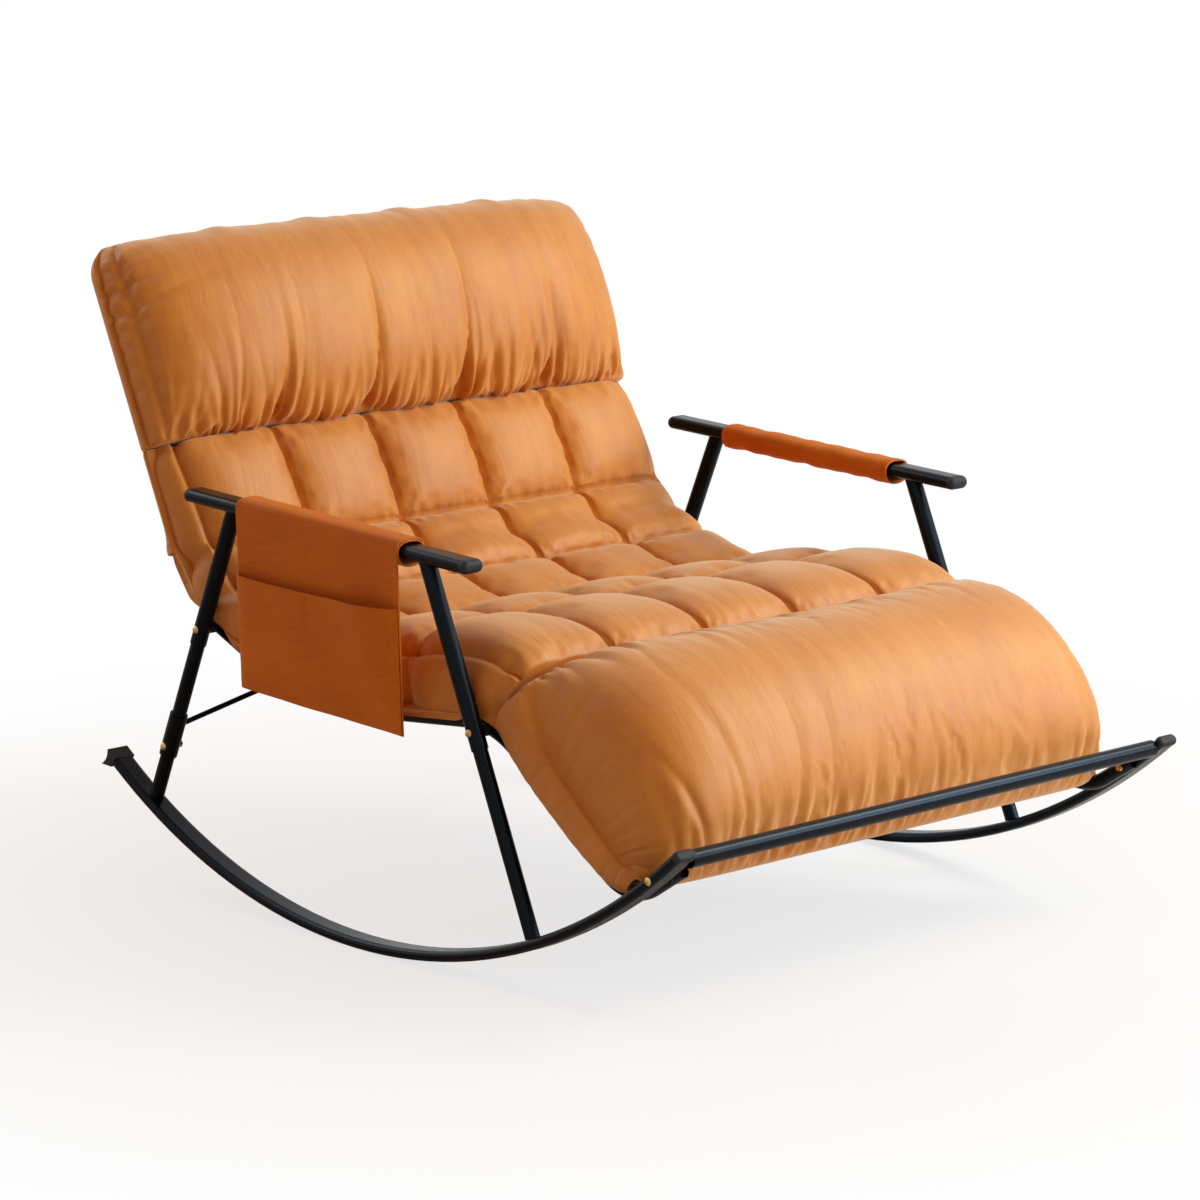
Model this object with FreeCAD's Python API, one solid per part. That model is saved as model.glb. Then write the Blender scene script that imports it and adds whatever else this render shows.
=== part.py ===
import FreeCAD, Part
import math
import os
from FreeCAD import Vector

os.makedirs("parts", exist_ok=True)

# Double rocking chair. Millimetres and degrees, X to the sitter's left, Y to the back, Z up.
# The origin is on the floor, halfway between the runners, under the centre of their arc.

# Runners: flat oval steel tube bent to one arc, which the chair rolls on
leg_plane = 500.0
runner_radius = 1010.0
runner_width = 38.0
runner_thickness = 16.0
runner_wall = 1.5
runner_front_angle = 41.26
runner_rear_angle = 33.94
runner_cap_length = 9.0
runner_cap_overlap = 12.0
runner_cap_skin = 0.5
runner_cap_rounding = 5.4
stop_length = 22.0
stop_heel = 13.0
stop_notch_depth = 5.0

# Legs: a 25 mm upper tube slips over a 22 mm lower tube
upper_leg_od = 25.0
lower_leg_od = 22.0
leg_wall = 1.3
slip_clearance = 0.2
weld_gap = 0.2
front_leg_angle = 21.56
rear_leg_angle = 28.64
sleeve_below_bolt = 26.0
insert_above_bolt = 34.0
collar_od = 27.5
collar_length = 72.0
collar_height = 122.0
collar_bolt_drop = 20.0

# Arms: flat oval steel tube with moulded end plugs
arm_length = 606.0
arm_middle_y = 65.5
arm_middle_z = 608.0
arm_slope = 2.2
arm_width = 40.0
arm_thickness = 20.0
arm_wall = 1.5
arm_leg_spacing = 424.0
arm_plug_length = 12.0
arm_plug_depth = 25.0
arm_plug_rounding = 8.4

# Seat rails: bent round tube, one each side, from the runner's toe to the back
rail_od = 22.0
rail_wall = 1.3
runner_rail_gap = 3.0
toe_bolt_angle = 37.76
rail_end_margin = 16.0
toe_back = 87.5
toe_drop = 57.5
toe_radius = 80.0
hump_y = -256.0
hump_z = 371.0
hump_radius = 150.0
trough_y = 156.0
trough_z = 330.0
trough_radius = 350.0
heel_y = 378.0
heel_z = 424.0
heel_radius = 60.0
knee_y = 446.0
knee_z = 515.0
knee_radius = 150.0
rail_top_run = 62.0

# Back hoop: one bent tube whose necked ends plug into the rails
hoop_top_y = 624.0
hoop_top_z = 898.0
hoop_corner_radius = 70.0
hoop_spigot_length = 45.0
spigot_clearance = 0.2

# Cross tubes between the rails, placed along the rail from its toe end or up the back
cross_tube_od = 22.0
toe_tube_place = 175.0
rear_tube_before_bolt = 48.0
back_tube_rise = 200.0

# Front bar between the runners' front ends
front_bar_od = 25.0
front_bar_wall = 1.5
front_bar_angle = 40.56

# Rear stay rods, from the rear legs up to the middle of the rear cross tube
stay_od = 8.0
stay_rise = 14.0
stay_meeting_half = 34.0

# Bolts: M6 with domed heads and nuts
bolt_d = 6.0
bolt_clearance = 0.6
bolt_head_d = 12.0
bolt_head_height = 4.0
bolt_tail = 2.0
nut_width = 10.0
nut_height = 5.0
nut_bore_clearance = 0.1
spacer_od = 17.0
seat_gap = 0.3

# Sling: cloth stretched over the rails and cross tubes
sling_thickness = 2.5
sling_overhang = 0.5
sling_start = 70.0
sling_lift = 1.2
toe_steps = 12
back_steps = 6

# Tufted pad: square tufts between the head seam and the bolster seam
tuft_rows = 5
tuft_columns = 5
pad_rail_inset = 5.0
pad_side_bulge = 8.0
pad_foot_inset = 10.0
side_bulge_limit = 0.4
tuft_rise = 30.0
tuft_seam_rise = 4.0
column_seam_rise = 7.0
pad_edge_drop = 16.0
bolster_seam_before_bolt = 19.7
head_height = 258.0
seam_heights = (92.0, 98.0, 76.0, 64.0, 46.0, 35.0)
row_steps = ((0.0, 0.0), (0.13, 0.58), (0.3, 0.9), (0.5, 1.0), (0.7, 0.9), (0.87, 0.58))
seam_gap = 1.2

# Head pillow: rise above the head seam, half width, height at the edge, height in the middle
pillow_length = 309.0
pillow_steps = (
    (0.0, 464.0, 20.0, 34.0),
    (30.0, 468.0, 44.0, 86.0),
    (86.0, 474.0, 60.0, 123.0),
    (170.0, 478.0, 64.0, 129.0),
    (253.0, 478.0, 60.0, 117.0),
    (293.0, 476.0, 40.0, 82.0),
    (pillow_length, 470.0, 22.0, 48.0),
)

# Front bolster: its front and chin from the toe, its crown from the hump, and how far its ends draw in
bolster_front_ahead = 81.0
bolster_front_rise = 130.0
bolster_chin_ahead = 49.0
bolster_chin_rise = 56.0
bolster_crown_ahead = 158.0
bolster_crown_rise = 84.0
bolster_shoulder_out = 27.0
bolster_shoulder_up = 37.0
bolster_chin_out = 8.0
bolster_chin_down = 5.0
bolster_seam_puff = 10.0
bolster_end_steps = ((0.0, 30.0), (12.0, 14.0), (46.0, 4.0))

# Rear cover: the cloth sock that closes the back behind the hoop
cover_thickness = 3.0
cover_side_gap = 1.0
cover_clearance = 0.6
cover_hem_rise = 6.0

# Arm sleeves and the pocket that hangs from the right-hand one
sleeve_thickness = 2.5
sleeve_clearance = 0.4
sleeve_length = 362.0
pocket_width = 360.0
pocket_drop = 262.0
pocket_sheet = 2.0
pocket_clearance = 0.7
pocket_hinge_drop = 2.0
pouch_height = 164.0
pouch_mouth_depth = 16.0
pouch_middle_depth = 14.0
pouch_bottom_depth = 5.0
pouch_front_bulge = 2.5
pouch_side_run = 9.0

arc_centre_z = runner_radius + runner_thickness / 2
rail_plane = leg_plane - runner_width / 2 - runner_rail_gap - rail_od / 2
SIDES = (("right", -1), ("left", 1))
X_AXIS = Vector(1, 0, 0)


def export(name, shape):
    shape.exportStep("parts/" + name + ".step")


def side_point(y, z, x=0.0):
    return Vector(x, y, z)


def shifted(point, x):
    return Vector(x, point.y, point.z)


def on_runner(angle, x=0.0):
    """A point of the runner's arc; a positive angle is towards the front."""
    turn = math.radians(angle)
    return Vector(x, -runner_radius * math.sin(turn), arc_centre_z - runner_radius * math.cos(turn))


def rounded_edges(points, radii):
    """Straight runs through the points, with a tangent arc at each inner point."""
    edges = []
    start = points[0]
    for before, corner, after, radius in zip(points, points[1:], points[2:], radii):
        inward = (before - corner).normalize()
        outward = (after - corner).normalize()
        half_turn = (math.pi - inward.getAngle(outward)) / 2
        setback = radius * math.tan(half_turn)
        bisector = (inward + outward).normalize()
        arc_start = corner + inward * setback
        arc_end = corner + outward * setback
        arc_middle = corner + bisector * (radius / math.cos(half_turn) - radius)
        edges.append(Part.LineSegment(start, arc_start).toShape())
        edges.append(Part.Arc(arc_start, arc_middle, arc_end).toShape())
        start = arc_end
    edges.append(Part.LineSegment(start, points[-1]).toShape())
    return edges


def swept_rod(edges, diameter):
    start = edges[0].valueAt(edges[0].FirstParameter)
    heading = edges[0].tangentAt(edges[0].FirstParameter)
    ring = Part.Wire(Part.makeCircle(diameter / 2, start, heading))
    return Part.Wire(edges).makePipeShell([ring], True, False)


def swept_tube(edges, diameter, wall):
    return swept_rod(edges, diameter).cut(swept_rod(edges, diameter - 2 * wall))


def rod_between(start, end, diameter):
    return Part.makeCylinder(diameter / 2, (end - start).Length, start, end - start)


def tube_between(start, end, diameter, wall):
    return rod_between(start, end, diameter).cut(rod_between(start, end, diameter - 2 * wall))


def oval_wire(centre, width, thickness, up):
    """A flat oval across X, standing in the plane of X and the up direction."""
    radius = thickness / 2
    flat = X_AXIS * (width / 2 - radius)
    rise = up * radius
    bulge = X_AXIS * (width / 2)
    corners = (centre - flat - rise, centre + flat - rise, centre + flat + rise, centre - flat + rise)
    return Part.Wire([
        Part.LineSegment(corners[0], corners[1]).toShape(),
        Part.Arc(corners[1], centre + bulge, corners[2]).toShape(),
        Part.LineSegment(corners[2], corners[3]).toShape(),
        Part.Arc(corners[3], centre - bulge, corners[0]).toShape(),
    ])


def runner_arc(x, front_angle, rear_angle, width, thickness):
    """A solid flat oval bar along the runner's arc."""
    start = on_runner(-rear_angle, x)
    up = (side_point(0, arc_centre_z, x) - start).normalize()
    section = Part.Face(oval_wire(start, width, thickness, up))
    return section.revolve(side_point(0, arc_centre_z, x), Vector(-1, 0, 0), front_angle + rear_angle)


def bar_along(start, end, width, thickness):
    """A solid straight flat oval bar, in a side plane."""
    heading = (end - start).normalize()
    up = X_AXIS.cross(heading)
    return Part.Face(oval_wire(start, width, thickness, up)).extrude(end - start)


def bolt_hole(centre, reach):
    start = centre - X_AXIS * reach
    return Part.makeCylinder((bolt_d + bolt_clearance) / 2, 2 * reach, start, X_AXIS)


def bolt(head_seat, tail_end, sign):
    """A bolt along X with a domed head on the outer side."""
    inward = X_AXIS * -sign
    rim = bolt_head_d / 2
    dome = (rim * rim + bolt_head_height * bolt_head_height) / (2 * bolt_head_height)
    sunk = dome - bolt_head_height
    latitude = math.degrees(math.asin(sunk / dome))
    head = Part.makeSphere(dome, head_seat + inward * sunk, X_AXIS * sign, latitude, 90, 360)
    shank = Part.makeCylinder(bolt_d / 2, (tail_end - head_seat).Length + bolt_tail, head_seat, inward)
    return head.fuse(shank).removeSplitter()


def nut(seat, sign):
    """A hexagon nut on a bolt along X, seated on its outer face."""
    radius = nut_width / math.sqrt(3)
    corners = []
    for step in range(7):
        turn = math.radians(60 * step)
        corners.append(seat + Vector(0, radius * math.cos(turn), radius * math.sin(turn)))
    body = Part.Face(Part.makePolygon(corners)).extrude(X_AXIS * (-sign * nut_height))
    bore_start = seat + X_AXIS * (sign * nut_height)
    bore = Part.makeCylinder(bolt_d / 2 + nut_bore_clearance, 3 * nut_height, bore_start, X_AXIS * -sign)
    return body.cut(bore)


class Track:
    """The side-view line of the rail and the back, measured by length from the toe end."""

    def __init__(self, edges):
        self.edges = edges
        self.length = sum(edge.Length for edge in edges)

    def at(self, place):
        """The point, the heading and the upward normal at a length along the line."""
        left = place
        for edge in self.edges:
            if left <= edge.Length or edge is self.edges[-1]:
                break
            left -= edge.Length
        if left > edge.Length:
            end = edge.valueAt(edge.LastParameter)
            heading = edge.tangentAt(edge.LastParameter)
            point = end + heading * (left - edge.Length)
        else:
            parameter = edge.getParameterByLength(left)
            point = edge.valueAt(parameter)
            heading = edge.tangentAt(parameter)
        return point, heading, X_AXIS.cross(heading)

    def crossing(self, start, end):
        """The length at which the line passes through a straight line of the side view."""
        across = X_AXIS.cross(end - start)
        low = 0.0
        high = self.length
        low_sign = (self.at(low)[0] - start).dot(across) > 0
        while high - low > 1e-7:
            middle = (low + high) / 2
            if ((self.at(middle)[0] - start).dot(across) > 0) == low_sign:
                low = middle
            else:
                high = middle
        return low


# Side-view lines that the pieces share
arm_heading = Vector(0, math.cos(math.radians(arm_slope)), math.sin(math.radians(arm_slope)))
arm_up = X_AXIS.cross(arm_heading)
arm_middle = side_point(arm_middle_y, arm_middle_z)
front_leg_top = arm_middle - arm_heading * (arm_leg_spacing / 2)
rear_leg_top = arm_middle + arm_heading * (arm_leg_spacing / 2)
front_leg_foot = on_runner(front_leg_angle)
rear_leg_foot = on_runner(-rear_leg_angle)

toe_bolt = on_runner(toe_bolt_angle)
toe = toe_bolt + side_point(toe_back, -toe_drop)
hump = side_point(hump_y, hump_z)
heel = side_point(heel_y, heel_z)
knee = side_point(knee_y, knee_z)
hoop_top = side_point(hoop_top_y, hoop_top_z)
rail_front_end = toe_bolt + (toe_bolt - toe).normalize() * rail_end_margin
rail_rear_end = heel + (knee - heel).normalize() * rail_top_run
rail_points = [rail_front_end, toe, hump, side_point(trough_y, trough_z), heel, rail_rear_end]
rail_radii = [toe_radius, hump_radius, trough_radius, heel_radius]
rail_edges = rounded_edges(rail_points, rail_radii)
seat_line = Track(rounded_edges(rail_points[:-1] + [knee, hoop_top], rail_radii + [knee_radius]))
back_heading = (hoop_top - knee).normalize()
back_up = X_AXIS.cross(back_heading)

front_bolt_place = seat_line.crossing(front_leg_top, front_leg_foot)
rear_bolt_place = seat_line.crossing(rear_leg_top, rear_leg_foot)
front_bolt = seat_line.at(front_bolt_place)[0]
rear_bolt = seat_line.at(rear_bolt_place)[0]


# Runners, their front caps and their rear stops
def runner(x):
    tube = runner_arc(x, runner_front_angle, runner_rear_angle, runner_width, runner_thickness)
    bore = runner_arc(
        x, runner_front_angle, runner_rear_angle,
        runner_width - 2 * runner_wall, runner_thickness - 2 * runner_wall,
    )
    return tube.cut(bore).cut(bolt_hole(shifted(toe_bolt, x), runner_width))


def runner_envelope(x):
    return runner_arc(
        x, runner_front_angle, runner_rear_angle,
        runner_width + 2 * weld_gap, runner_thickness + 2 * weld_gap,
    )


def runner_plug(end, heading):
    """The part of a cap or stop that goes inside the tube's end."""
    width = runner_width - 2 * (runner_wall + weld_gap)
    thickness = runner_thickness - 2 * (runner_wall + weld_gap)
    return bar_along(end - heading * runner_cap_overlap, end + heading * (2 * weld_gap), width, thickness)


def runner_front_cap(x):
    """A plug in the tube's front end with a rounded nose."""
    end = on_runner(runner_front_angle, x)
    turn = math.radians(runner_front_angle)
    heading = Vector(0, -math.cos(turn), math.sin(turn))
    width = runner_width + 2 * runner_cap_skin
    thickness = runner_thickness + 2 * runner_cap_skin
    nose_start = end + heading * weld_gap
    nose = bar_along(nose_start, nose_start + heading * runner_cap_length, width, thickness)
    front_edges = [edge for edge in nose.Edges if (edge.CenterOfMass - end).dot(heading) > runner_cap_length]
    nose = nose.makeFillet(runner_cap_rounding, front_edges)
    return nose.fuse(runner_plug(end, heading)).removeSplitter()


def runner_rear_stop(x):
    """A moulded end stop: it caps the tube's rear end and hangs a heel below it."""
    end = on_runner(-runner_rear_angle, x)
    turn = math.radians(runner_rear_angle)
    heading = Vector(0, math.cos(turn), math.sin(turn))
    inward = X_AXIS.cross(heading)
    half = runner_thickness / 2 + runner_cap_skin
    near = end + heading * weld_gap
    far = end + heading * stop_length
    notch = far - heading * stop_notch_depth - inward * (stop_heel / 2)
    outline = Part.Wire([
        Part.LineSegment(near + inward * half, far + inward * half).toShape(),
        Part.Arc(far + inward * half, notch, far - inward * (half + stop_heel)).toShape(),
        Part.LineSegment(far - inward * (half + stop_heel), near - inward * half).toShape(),
        Part.LineSegment(near - inward * half, near + inward * half).toShape(),
    ])
    block = Part.Face(outline).extrude(X_AXIS * runner_width)
    block.translate(X_AXIS * (-runner_width / 2))
    return block.fuse(runner_plug(end, heading)).removeSplitter()


for side, sign in SIDES:
    x = sign * leg_plane
    export(side + "_runner", runner(x))
    export(side + "_runner_front_cap", runner_front_cap(x))
    export(side + "_runner_rear_stop", runner_rear_stop(x))


# Arms and their end plugs
def arm_point(along, x, up=0.0):
    return shifted(arm_middle + arm_heading * along + arm_up * up, x)


def arm_bar(x, half_length, width, thickness):
    return bar_along(arm_point(-half_length, x), arm_point(half_length, x), width, thickness)


def arm_plug(x, end_sign):
    """A moulded plug with a flat oval face and a rounded nose."""
    end = arm_point(end_sign * arm_length / 2, x)
    heading = arm_heading * end_sign
    nose_start = end + heading * weld_gap
    nose = bar_along(nose_start, nose_start + heading * arm_plug_length, arm_width, arm_thickness)
    outer_edges = [edge for edge in nose.Edges if (edge.CenterOfMass - end).dot(heading) > arm_plug_length]
    nose = nose.makeFillet(arm_plug_rounding, outer_edges)
    stem_width = arm_width - 2 * (arm_wall + weld_gap)
    stem_thickness = arm_thickness - 2 * (arm_wall + weld_gap)
    stem_start = end - heading * arm_plug_depth
    stem = bar_along(stem_start, end + heading * (2 * weld_gap), stem_width, stem_thickness)
    return nose.fuse(stem).removeSplitter()


for side, sign in SIDES:
    x = sign * leg_plane
    arm = arm_bar(x, arm_length / 2, arm_width, arm_thickness)
    arm_bore = arm_bar(x, arm_length / 2, arm_width - 2 * arm_wall, arm_thickness - 2 * arm_wall)
    export(side + "_arm_rail", arm.cut(arm_bore))
    export(side + "_arm_front_plug", arm_plug(x, -1))
    export(side + "_arm_rear_plug", arm_plug(x, 1))


# Legs: upper tubes under the arm, lower tubes on the runner, and the rear collars
lower_leg_bore = lower_leg_od - 2 * leg_wall
upper_leg_bore = lower_leg_od + 2 * slip_clearance
rear_leg_up = (rear_leg_top - rear_leg_foot).normalize()
collar_middle = rear_leg_foot + rear_leg_up * collar_height
collar_bolt = collar_middle - rear_leg_up * collar_bolt_drop
stay_foot = collar_middle + rear_leg_up * stay_rise

for side, sign in SIDES:
    x = sign * leg_plane
    arm_envelope = arm_bar(x, arm_length / 2, arm_width + 2 * weld_gap, arm_thickness + 2 * weld_gap)
    for place, top, foot, joint in (
        ("front", front_leg_top, front_leg_foot, front_bolt),
        ("rear", rear_leg_top, rear_leg_foot, rear_bolt),
    ):
        top = shifted(top, x)
        foot = shifted(foot, x)
        joint = shifted(joint, x)
        down = (foot - top).normalize()
        hole = bolt_hole(joint, upper_leg_od)
        sleeve_end = joint + down * sleeve_below_bolt
        insert_end = joint - down * insert_above_bolt
        upper = rod_between(top, sleeve_end, upper_leg_od).cut(rod_between(top, sleeve_end, upper_leg_bore))
        export(side + "_" + place + "_upper_leg", upper.cut(arm_envelope).cut(hole))
        if place == "front":
            lower = tube_between(insert_end, foot, lower_leg_od, leg_wall)
            lower = lower.cut(runner_envelope(x)).cut(hole)
        else:
            lower = tube_between(insert_end, shifted(collar_middle, x), lower_leg_od, leg_wall)
            lower = lower.cut(hole)
            stub_top = shifted(collar_middle, x) + down * weld_gap
            stub = tube_between(stub_top, foot, lower_leg_od, leg_wall).cut(runner_envelope(x))
            export(side + "_rear_runner_stub", stub.cut(bolt_hole(shifted(collar_bolt, x), collar_od)))
            collar_top = shifted(collar_middle, x) - down * (collar_length / 2)
            collar_end = shifted(collar_middle, x) + down * (collar_length / 2)
            collar = rod_between(collar_top, collar_end, collar_od)
            collar = collar.cut(rod_between(collar_top, collar_end, upper_leg_bore))
            export(side + "_rear_leg_collar", collar.cut(bolt_hole(shifted(collar_bolt, x), collar_od)))
        export(side + "_" + place + "_lower_leg", lower)


# Seat rails and the back hoop that plugs into them
spigot_d = rail_od - 2 * rail_wall - 2 * spigot_clearance
spigot_bottom = rail_rear_end - (knee - heel).normalize() * hoop_spigot_length


def at_side(edges, x):
    return [edge.translated(Vector(x, 0, 0)) for edge in edges]


for side, sign in SIDES:
    x = sign * rail_plane
    rail = swept_tube(at_side(rail_edges, x), rail_od, rail_wall)
    for place in (toe_bolt, front_bolt, rear_bolt):
        rail = rail.cut(bolt_hole(shifted(place, x), rail_od))
    export(side + "_seat_rail", rail)

hoop_start = rail_rear_end + (knee - heel).normalize() * weld_gap
hoop_points = [
    shifted(hoop_start, -rail_plane), shifted(knee, -rail_plane), shifted(hoop_top, -rail_plane),
    shifted(hoop_top, rail_plane), shifted(knee, rail_plane), shifted(hoop_start, rail_plane),
]
hoop_radii = [knee_radius, hoop_corner_radius, hoop_corner_radius, knee_radius]
hoop_edges = rounded_edges(hoop_points, hoop_radii)
hoop = swept_tube(hoop_edges, rail_od, rail_wall)
for side, sign in SIDES:
    x = sign * rail_plane
    spigot_top = shifted(hoop_start, x) + (knee - heel).normalize() * rail_wall
    spigot = tube_between(shifted(spigot_bottom, x), spigot_top, spigot_d, rail_wall)
    neck_wall = (rail_od - spigot_d) / 2 + rail_wall
    collar_ring = tube_between(shifted(hoop_start, x), spigot_top, rail_od, neck_wall)
    hoop = hoop.fuse(spigot).fuse(collar_ring)
export("back_hoop", hoop.removeSplitter())


# Cross tubes, butted between the rails or the hoop's sides
def cross_tube(centre):
    half = rail_plane + rail_od / 2
    tube = tube_between(shifted(centre, -half), shifted(centre, half), cross_tube_od, rail_wall)
    for side, sign in SIDES:
        tube = tube.cut(swept_rod(at_side(seat_line.edges, sign * rail_plane), rail_od + 2 * weld_gap))
    middle_only = [solid for solid in tube.Solids if abs(solid.CenterOfMass.x) < rail_plane / 2]
    return middle_only[0]


rear_tube_centre = seat_line.at(rear_bolt_place - rear_tube_before_bolt)[0]
back_tube_centre = knee + back_heading * back_tube_rise
export("toe_cross_tube", cross_tube(seat_line.at(toe_tube_place)[0]))
export("rear_cross_tube", cross_tube(rear_tube_centre))
export("back_cross_tube", cross_tube(back_tube_centre))

front_bar_centre = on_runner(front_bar_angle)
front_bar_half = leg_plane - runner_width / 2 - runner_cap_skin - weld_gap
front_bar = tube_between(
    shifted(front_bar_centre, -front_bar_half), shifted(front_bar_centre, front_bar_half),
    front_bar_od, front_bar_wall,
)
export("front_bar", front_bar)


# Rear stay rods, welded to the rear leg's collar and under the rear cross tube
rear_tube_envelope = rod_between(
    shifted(rear_tube_centre, -rail_plane), shifted(rear_tube_centre, rail_plane),
    cross_tube_od + 2 * weld_gap,
)
for side, sign in SIDES:
    x = sign * leg_plane
    collar_envelope = rod_between(
        shifted(collar_middle - rear_leg_up * collar_length, x),
        shifted(collar_middle + rear_leg_up * collar_length, x),
        collar_od + 2 * weld_gap,
    )
    meeting = shifted(rear_tube_centre, sign * stay_meeting_half)
    stay = rod_between(shifted(stay_foot, x), meeting, stay_od)
    export(side + "_rear_stay_rod", stay.cut(collar_envelope).cut(rear_tube_envelope))


# Bolts, nuts and the spacers between legs and rails
leg_bolts = []
leg_nuts = []
spacers = []
toe_bolts = []
toe_nuts = []
toe_washers = []
collar_bolts = []
collar_nuts = []
for side, sign in SIDES:
    outer_leg = sign * (leg_plane + upper_leg_od / 2 + seat_gap)
    inner_rail = sign * (rail_plane - rail_od / 2 - seat_gap)
    for place in (front_bolt, rear_bolt):
        nut_seat = shifted(place, inner_rail)
        leg_bolts.append(bolt(shifted(place, outer_leg), nut_seat - X_AXIS * (sign * nut_height), sign))
        leg_nuts.append(nut(nut_seat, sign))
        spacer = rod_between(shifted(place, sign * rail_plane), shifted(place, sign * leg_plane), spacer_od)
        leg = (front_leg_top, front_leg_foot) if place is front_bolt else (rear_leg_top, rear_leg_foot)
        leg_room = rod_between(
            shifted(leg[0], sign * leg_plane), shifted(leg[1], sign * leg_plane), upper_leg_od + 2 * seat_gap,
        )
        rail_room = swept_rod(at_side(rail_edges, sign * rail_plane), rail_od + 2 * seat_gap)
        spacer = spacer.cut(leg_room).cut(rail_room).cut(bolt_hole(shifted(place, 0), leg_plane))
        spacers.append(max(spacer.Solids, key=lambda solid: solid.Volume))
    outer_runner = sign * (leg_plane + runner_width / 2 + seat_gap)
    nut_seat = shifted(toe_bolt, inner_rail)
    toe_bolts.append(bolt(shifted(toe_bolt, outer_runner), nut_seat - X_AXIS * (sign * nut_height), sign))
    toe_nuts.append(nut(nut_seat, sign))
    washer_start = shifted(toe_bolt, sign * (rail_plane + rail_od / 2 + seat_gap))
    washer_end = shifted(toe_bolt, sign * (leg_plane - runner_width / 2 - seat_gap))
    washer = rod_between(washer_start, washer_end, spacer_od)
    toe_washers.append(washer.cut(bolt_hole(shifted(toe_bolt, 0), leg_plane)))
    outer_collar = sign * (leg_plane + collar_od / 2 + seat_gap)
    inner_collar = sign * (leg_plane - collar_od / 2 - seat_gap)
    nut_seat = shifted(collar_bolt, inner_collar)
    nut_end = nut_seat - X_AXIS * (sign * nut_height)
    collar_bolts.append(bolt(shifted(collar_bolt, outer_collar), nut_end, sign))
    collar_nuts.append(nut(nut_seat, sign))

export("leg_joint_bolts", Part.makeCompound(leg_bolts))
export("leg_joint_nuts", Part.makeCompound(leg_nuts))
export("leg_rail_spacers", Part.makeCompound(spacers))
export("toe_bolts", Part.makeCompound(toe_bolts))
export("toe_nuts", Part.makeCompound(toe_nuts))
export("toe_washers", Part.makeCompound(toe_washers))
export("collar_bolts", Part.makeCompound(collar_bolts))
export("collar_nuts", Part.makeCompound(collar_nuts))


# Sling and pad: cross sections stand square to the seat line at a row of places
pad_half_width = rail_plane - pad_rail_inset
pad_start = front_bolt_place - bolster_seam_before_bolt
pad_end = seat_line.length - head_height
row_pitch = (pad_end - pad_start) / tuft_rows
pad_places = []
pad_crowns = []
for row in range(tuft_rows):
    for share, crown in row_steps:
        pad_places.append(pad_start + row_pitch * (row + share))
        pad_crowns.append(crown)
pad_places.append(pad_end)
pad_crowns.append(0.0)
toe_places = [sling_start + (pad_start - sling_start) * step / toe_steps for step in range(toe_steps)]
back_places = [pad_end + head_height * step / back_steps for step in range(1, back_steps + 1)]

sling_base = rail_od / 2 + sling_lift
pad_base = sling_base + sling_thickness + seat_gap


def section_point(place, x, height):
    point, heading, up = seat_line.at(place)
    return shifted(point + up * height, x)


def sling_section(place):
    half = rail_plane + rail_od / 2 + sling_overhang
    low = sling_base
    high = sling_base + sling_thickness
    corners = [(-half, low), (half, low), (half, high), (-half, high), (-half, low)]
    return Part.makePolygon([section_point(place, x, height) for x, height in corners])


sling = Part.makeLoft([sling_section(place) for place in toe_places + pad_places + back_places], True, True)
export("seat_sling", sling)


def seam_height(place):
    """The pad's depth along its seams, from the bolster up to the head."""
    row = min(int((place - pad_start) / row_pitch), tuft_rows - 1)
    share = (place - pad_start) / row_pitch - row
    return seam_heights[row] * (1 - share) + seam_heights[row + 1] * share


def side_arc(spot, half, edge):
    """A cushion's side: from its drawn-in foot, bulging out, up to its top edge."""
    bulge = min(pad_foot_inset / 2 + pad_side_bulge, side_bulge_limit * edge)
    middle = half - pad_foot_inset / 2 + bulge
    return Part.Arc(spot(half - pad_foot_inset, 0), spot(middle, edge / 2), spot(half, edge)).toShape()


def mirrored(spot):
    return lambda x, height: spot(-x, height)


def pad_section(place, crown):
    """A foot, two bulged sides and one arc over each tuft."""
    seam = seam_height(place)
    column = 2 * pad_half_width / tuft_columns
    foot = pad_half_width - pad_foot_inset
    edge = seam - pad_edge_drop * (1 - crown / 2)
    line_height = seam + column_seam_rise * crown
    top_height = seam + tuft_seam_rise + tuft_rise * crown

    def spot(x, height):
        return section_point(place, x, pad_base + height)

    edges = [Part.LineSegment(spot(-foot, 0), spot(foot, 0)).toShape()]
    edges.append(side_arc(spot, pad_half_width, edge))
    for count in range(tuft_columns):
        start_x = pad_half_width - column * count
        end_x = start_x - column
        start_height = edge if count == 0 else line_height
        end_height = edge if count == tuft_columns - 1 else line_height
        edges.append(Part.Arc(
            spot(start_x, start_height), spot((start_x + end_x) / 2, top_height), spot(end_x, end_height),
        ).toShape())
    edges.append(side_arc(mirrored(spot), pad_half_width, edge))
    return Part.Wire(edges)


pad = Part.makeLoft([pad_section(place, crown) for place, crown in zip(pad_places, pad_crowns)], True, True)
export("tufted_pad", pad)


# Head pillow: one crowned form from the head seam over the hoop
def pillow_section(rise, half, edge, middle):
    def spot(x, height):
        return section_point(pad_end + seam_gap + rise, x, pad_base + height)

    foot = half - pad_foot_inset
    return Part.Wire([
        Part.LineSegment(spot(-foot, 0), spot(foot, 0)).toShape(),
        side_arc(spot, half, edge),
        Part.Arc(spot(half, edge), spot(0, middle), spot(-half, edge)).toShape(),
        side_arc(mirrored(spot), half, edge),
    ])


export("head_pillow", Part.makeLoft([pillow_section(*step) for step in pillow_steps], True, True))


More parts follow.
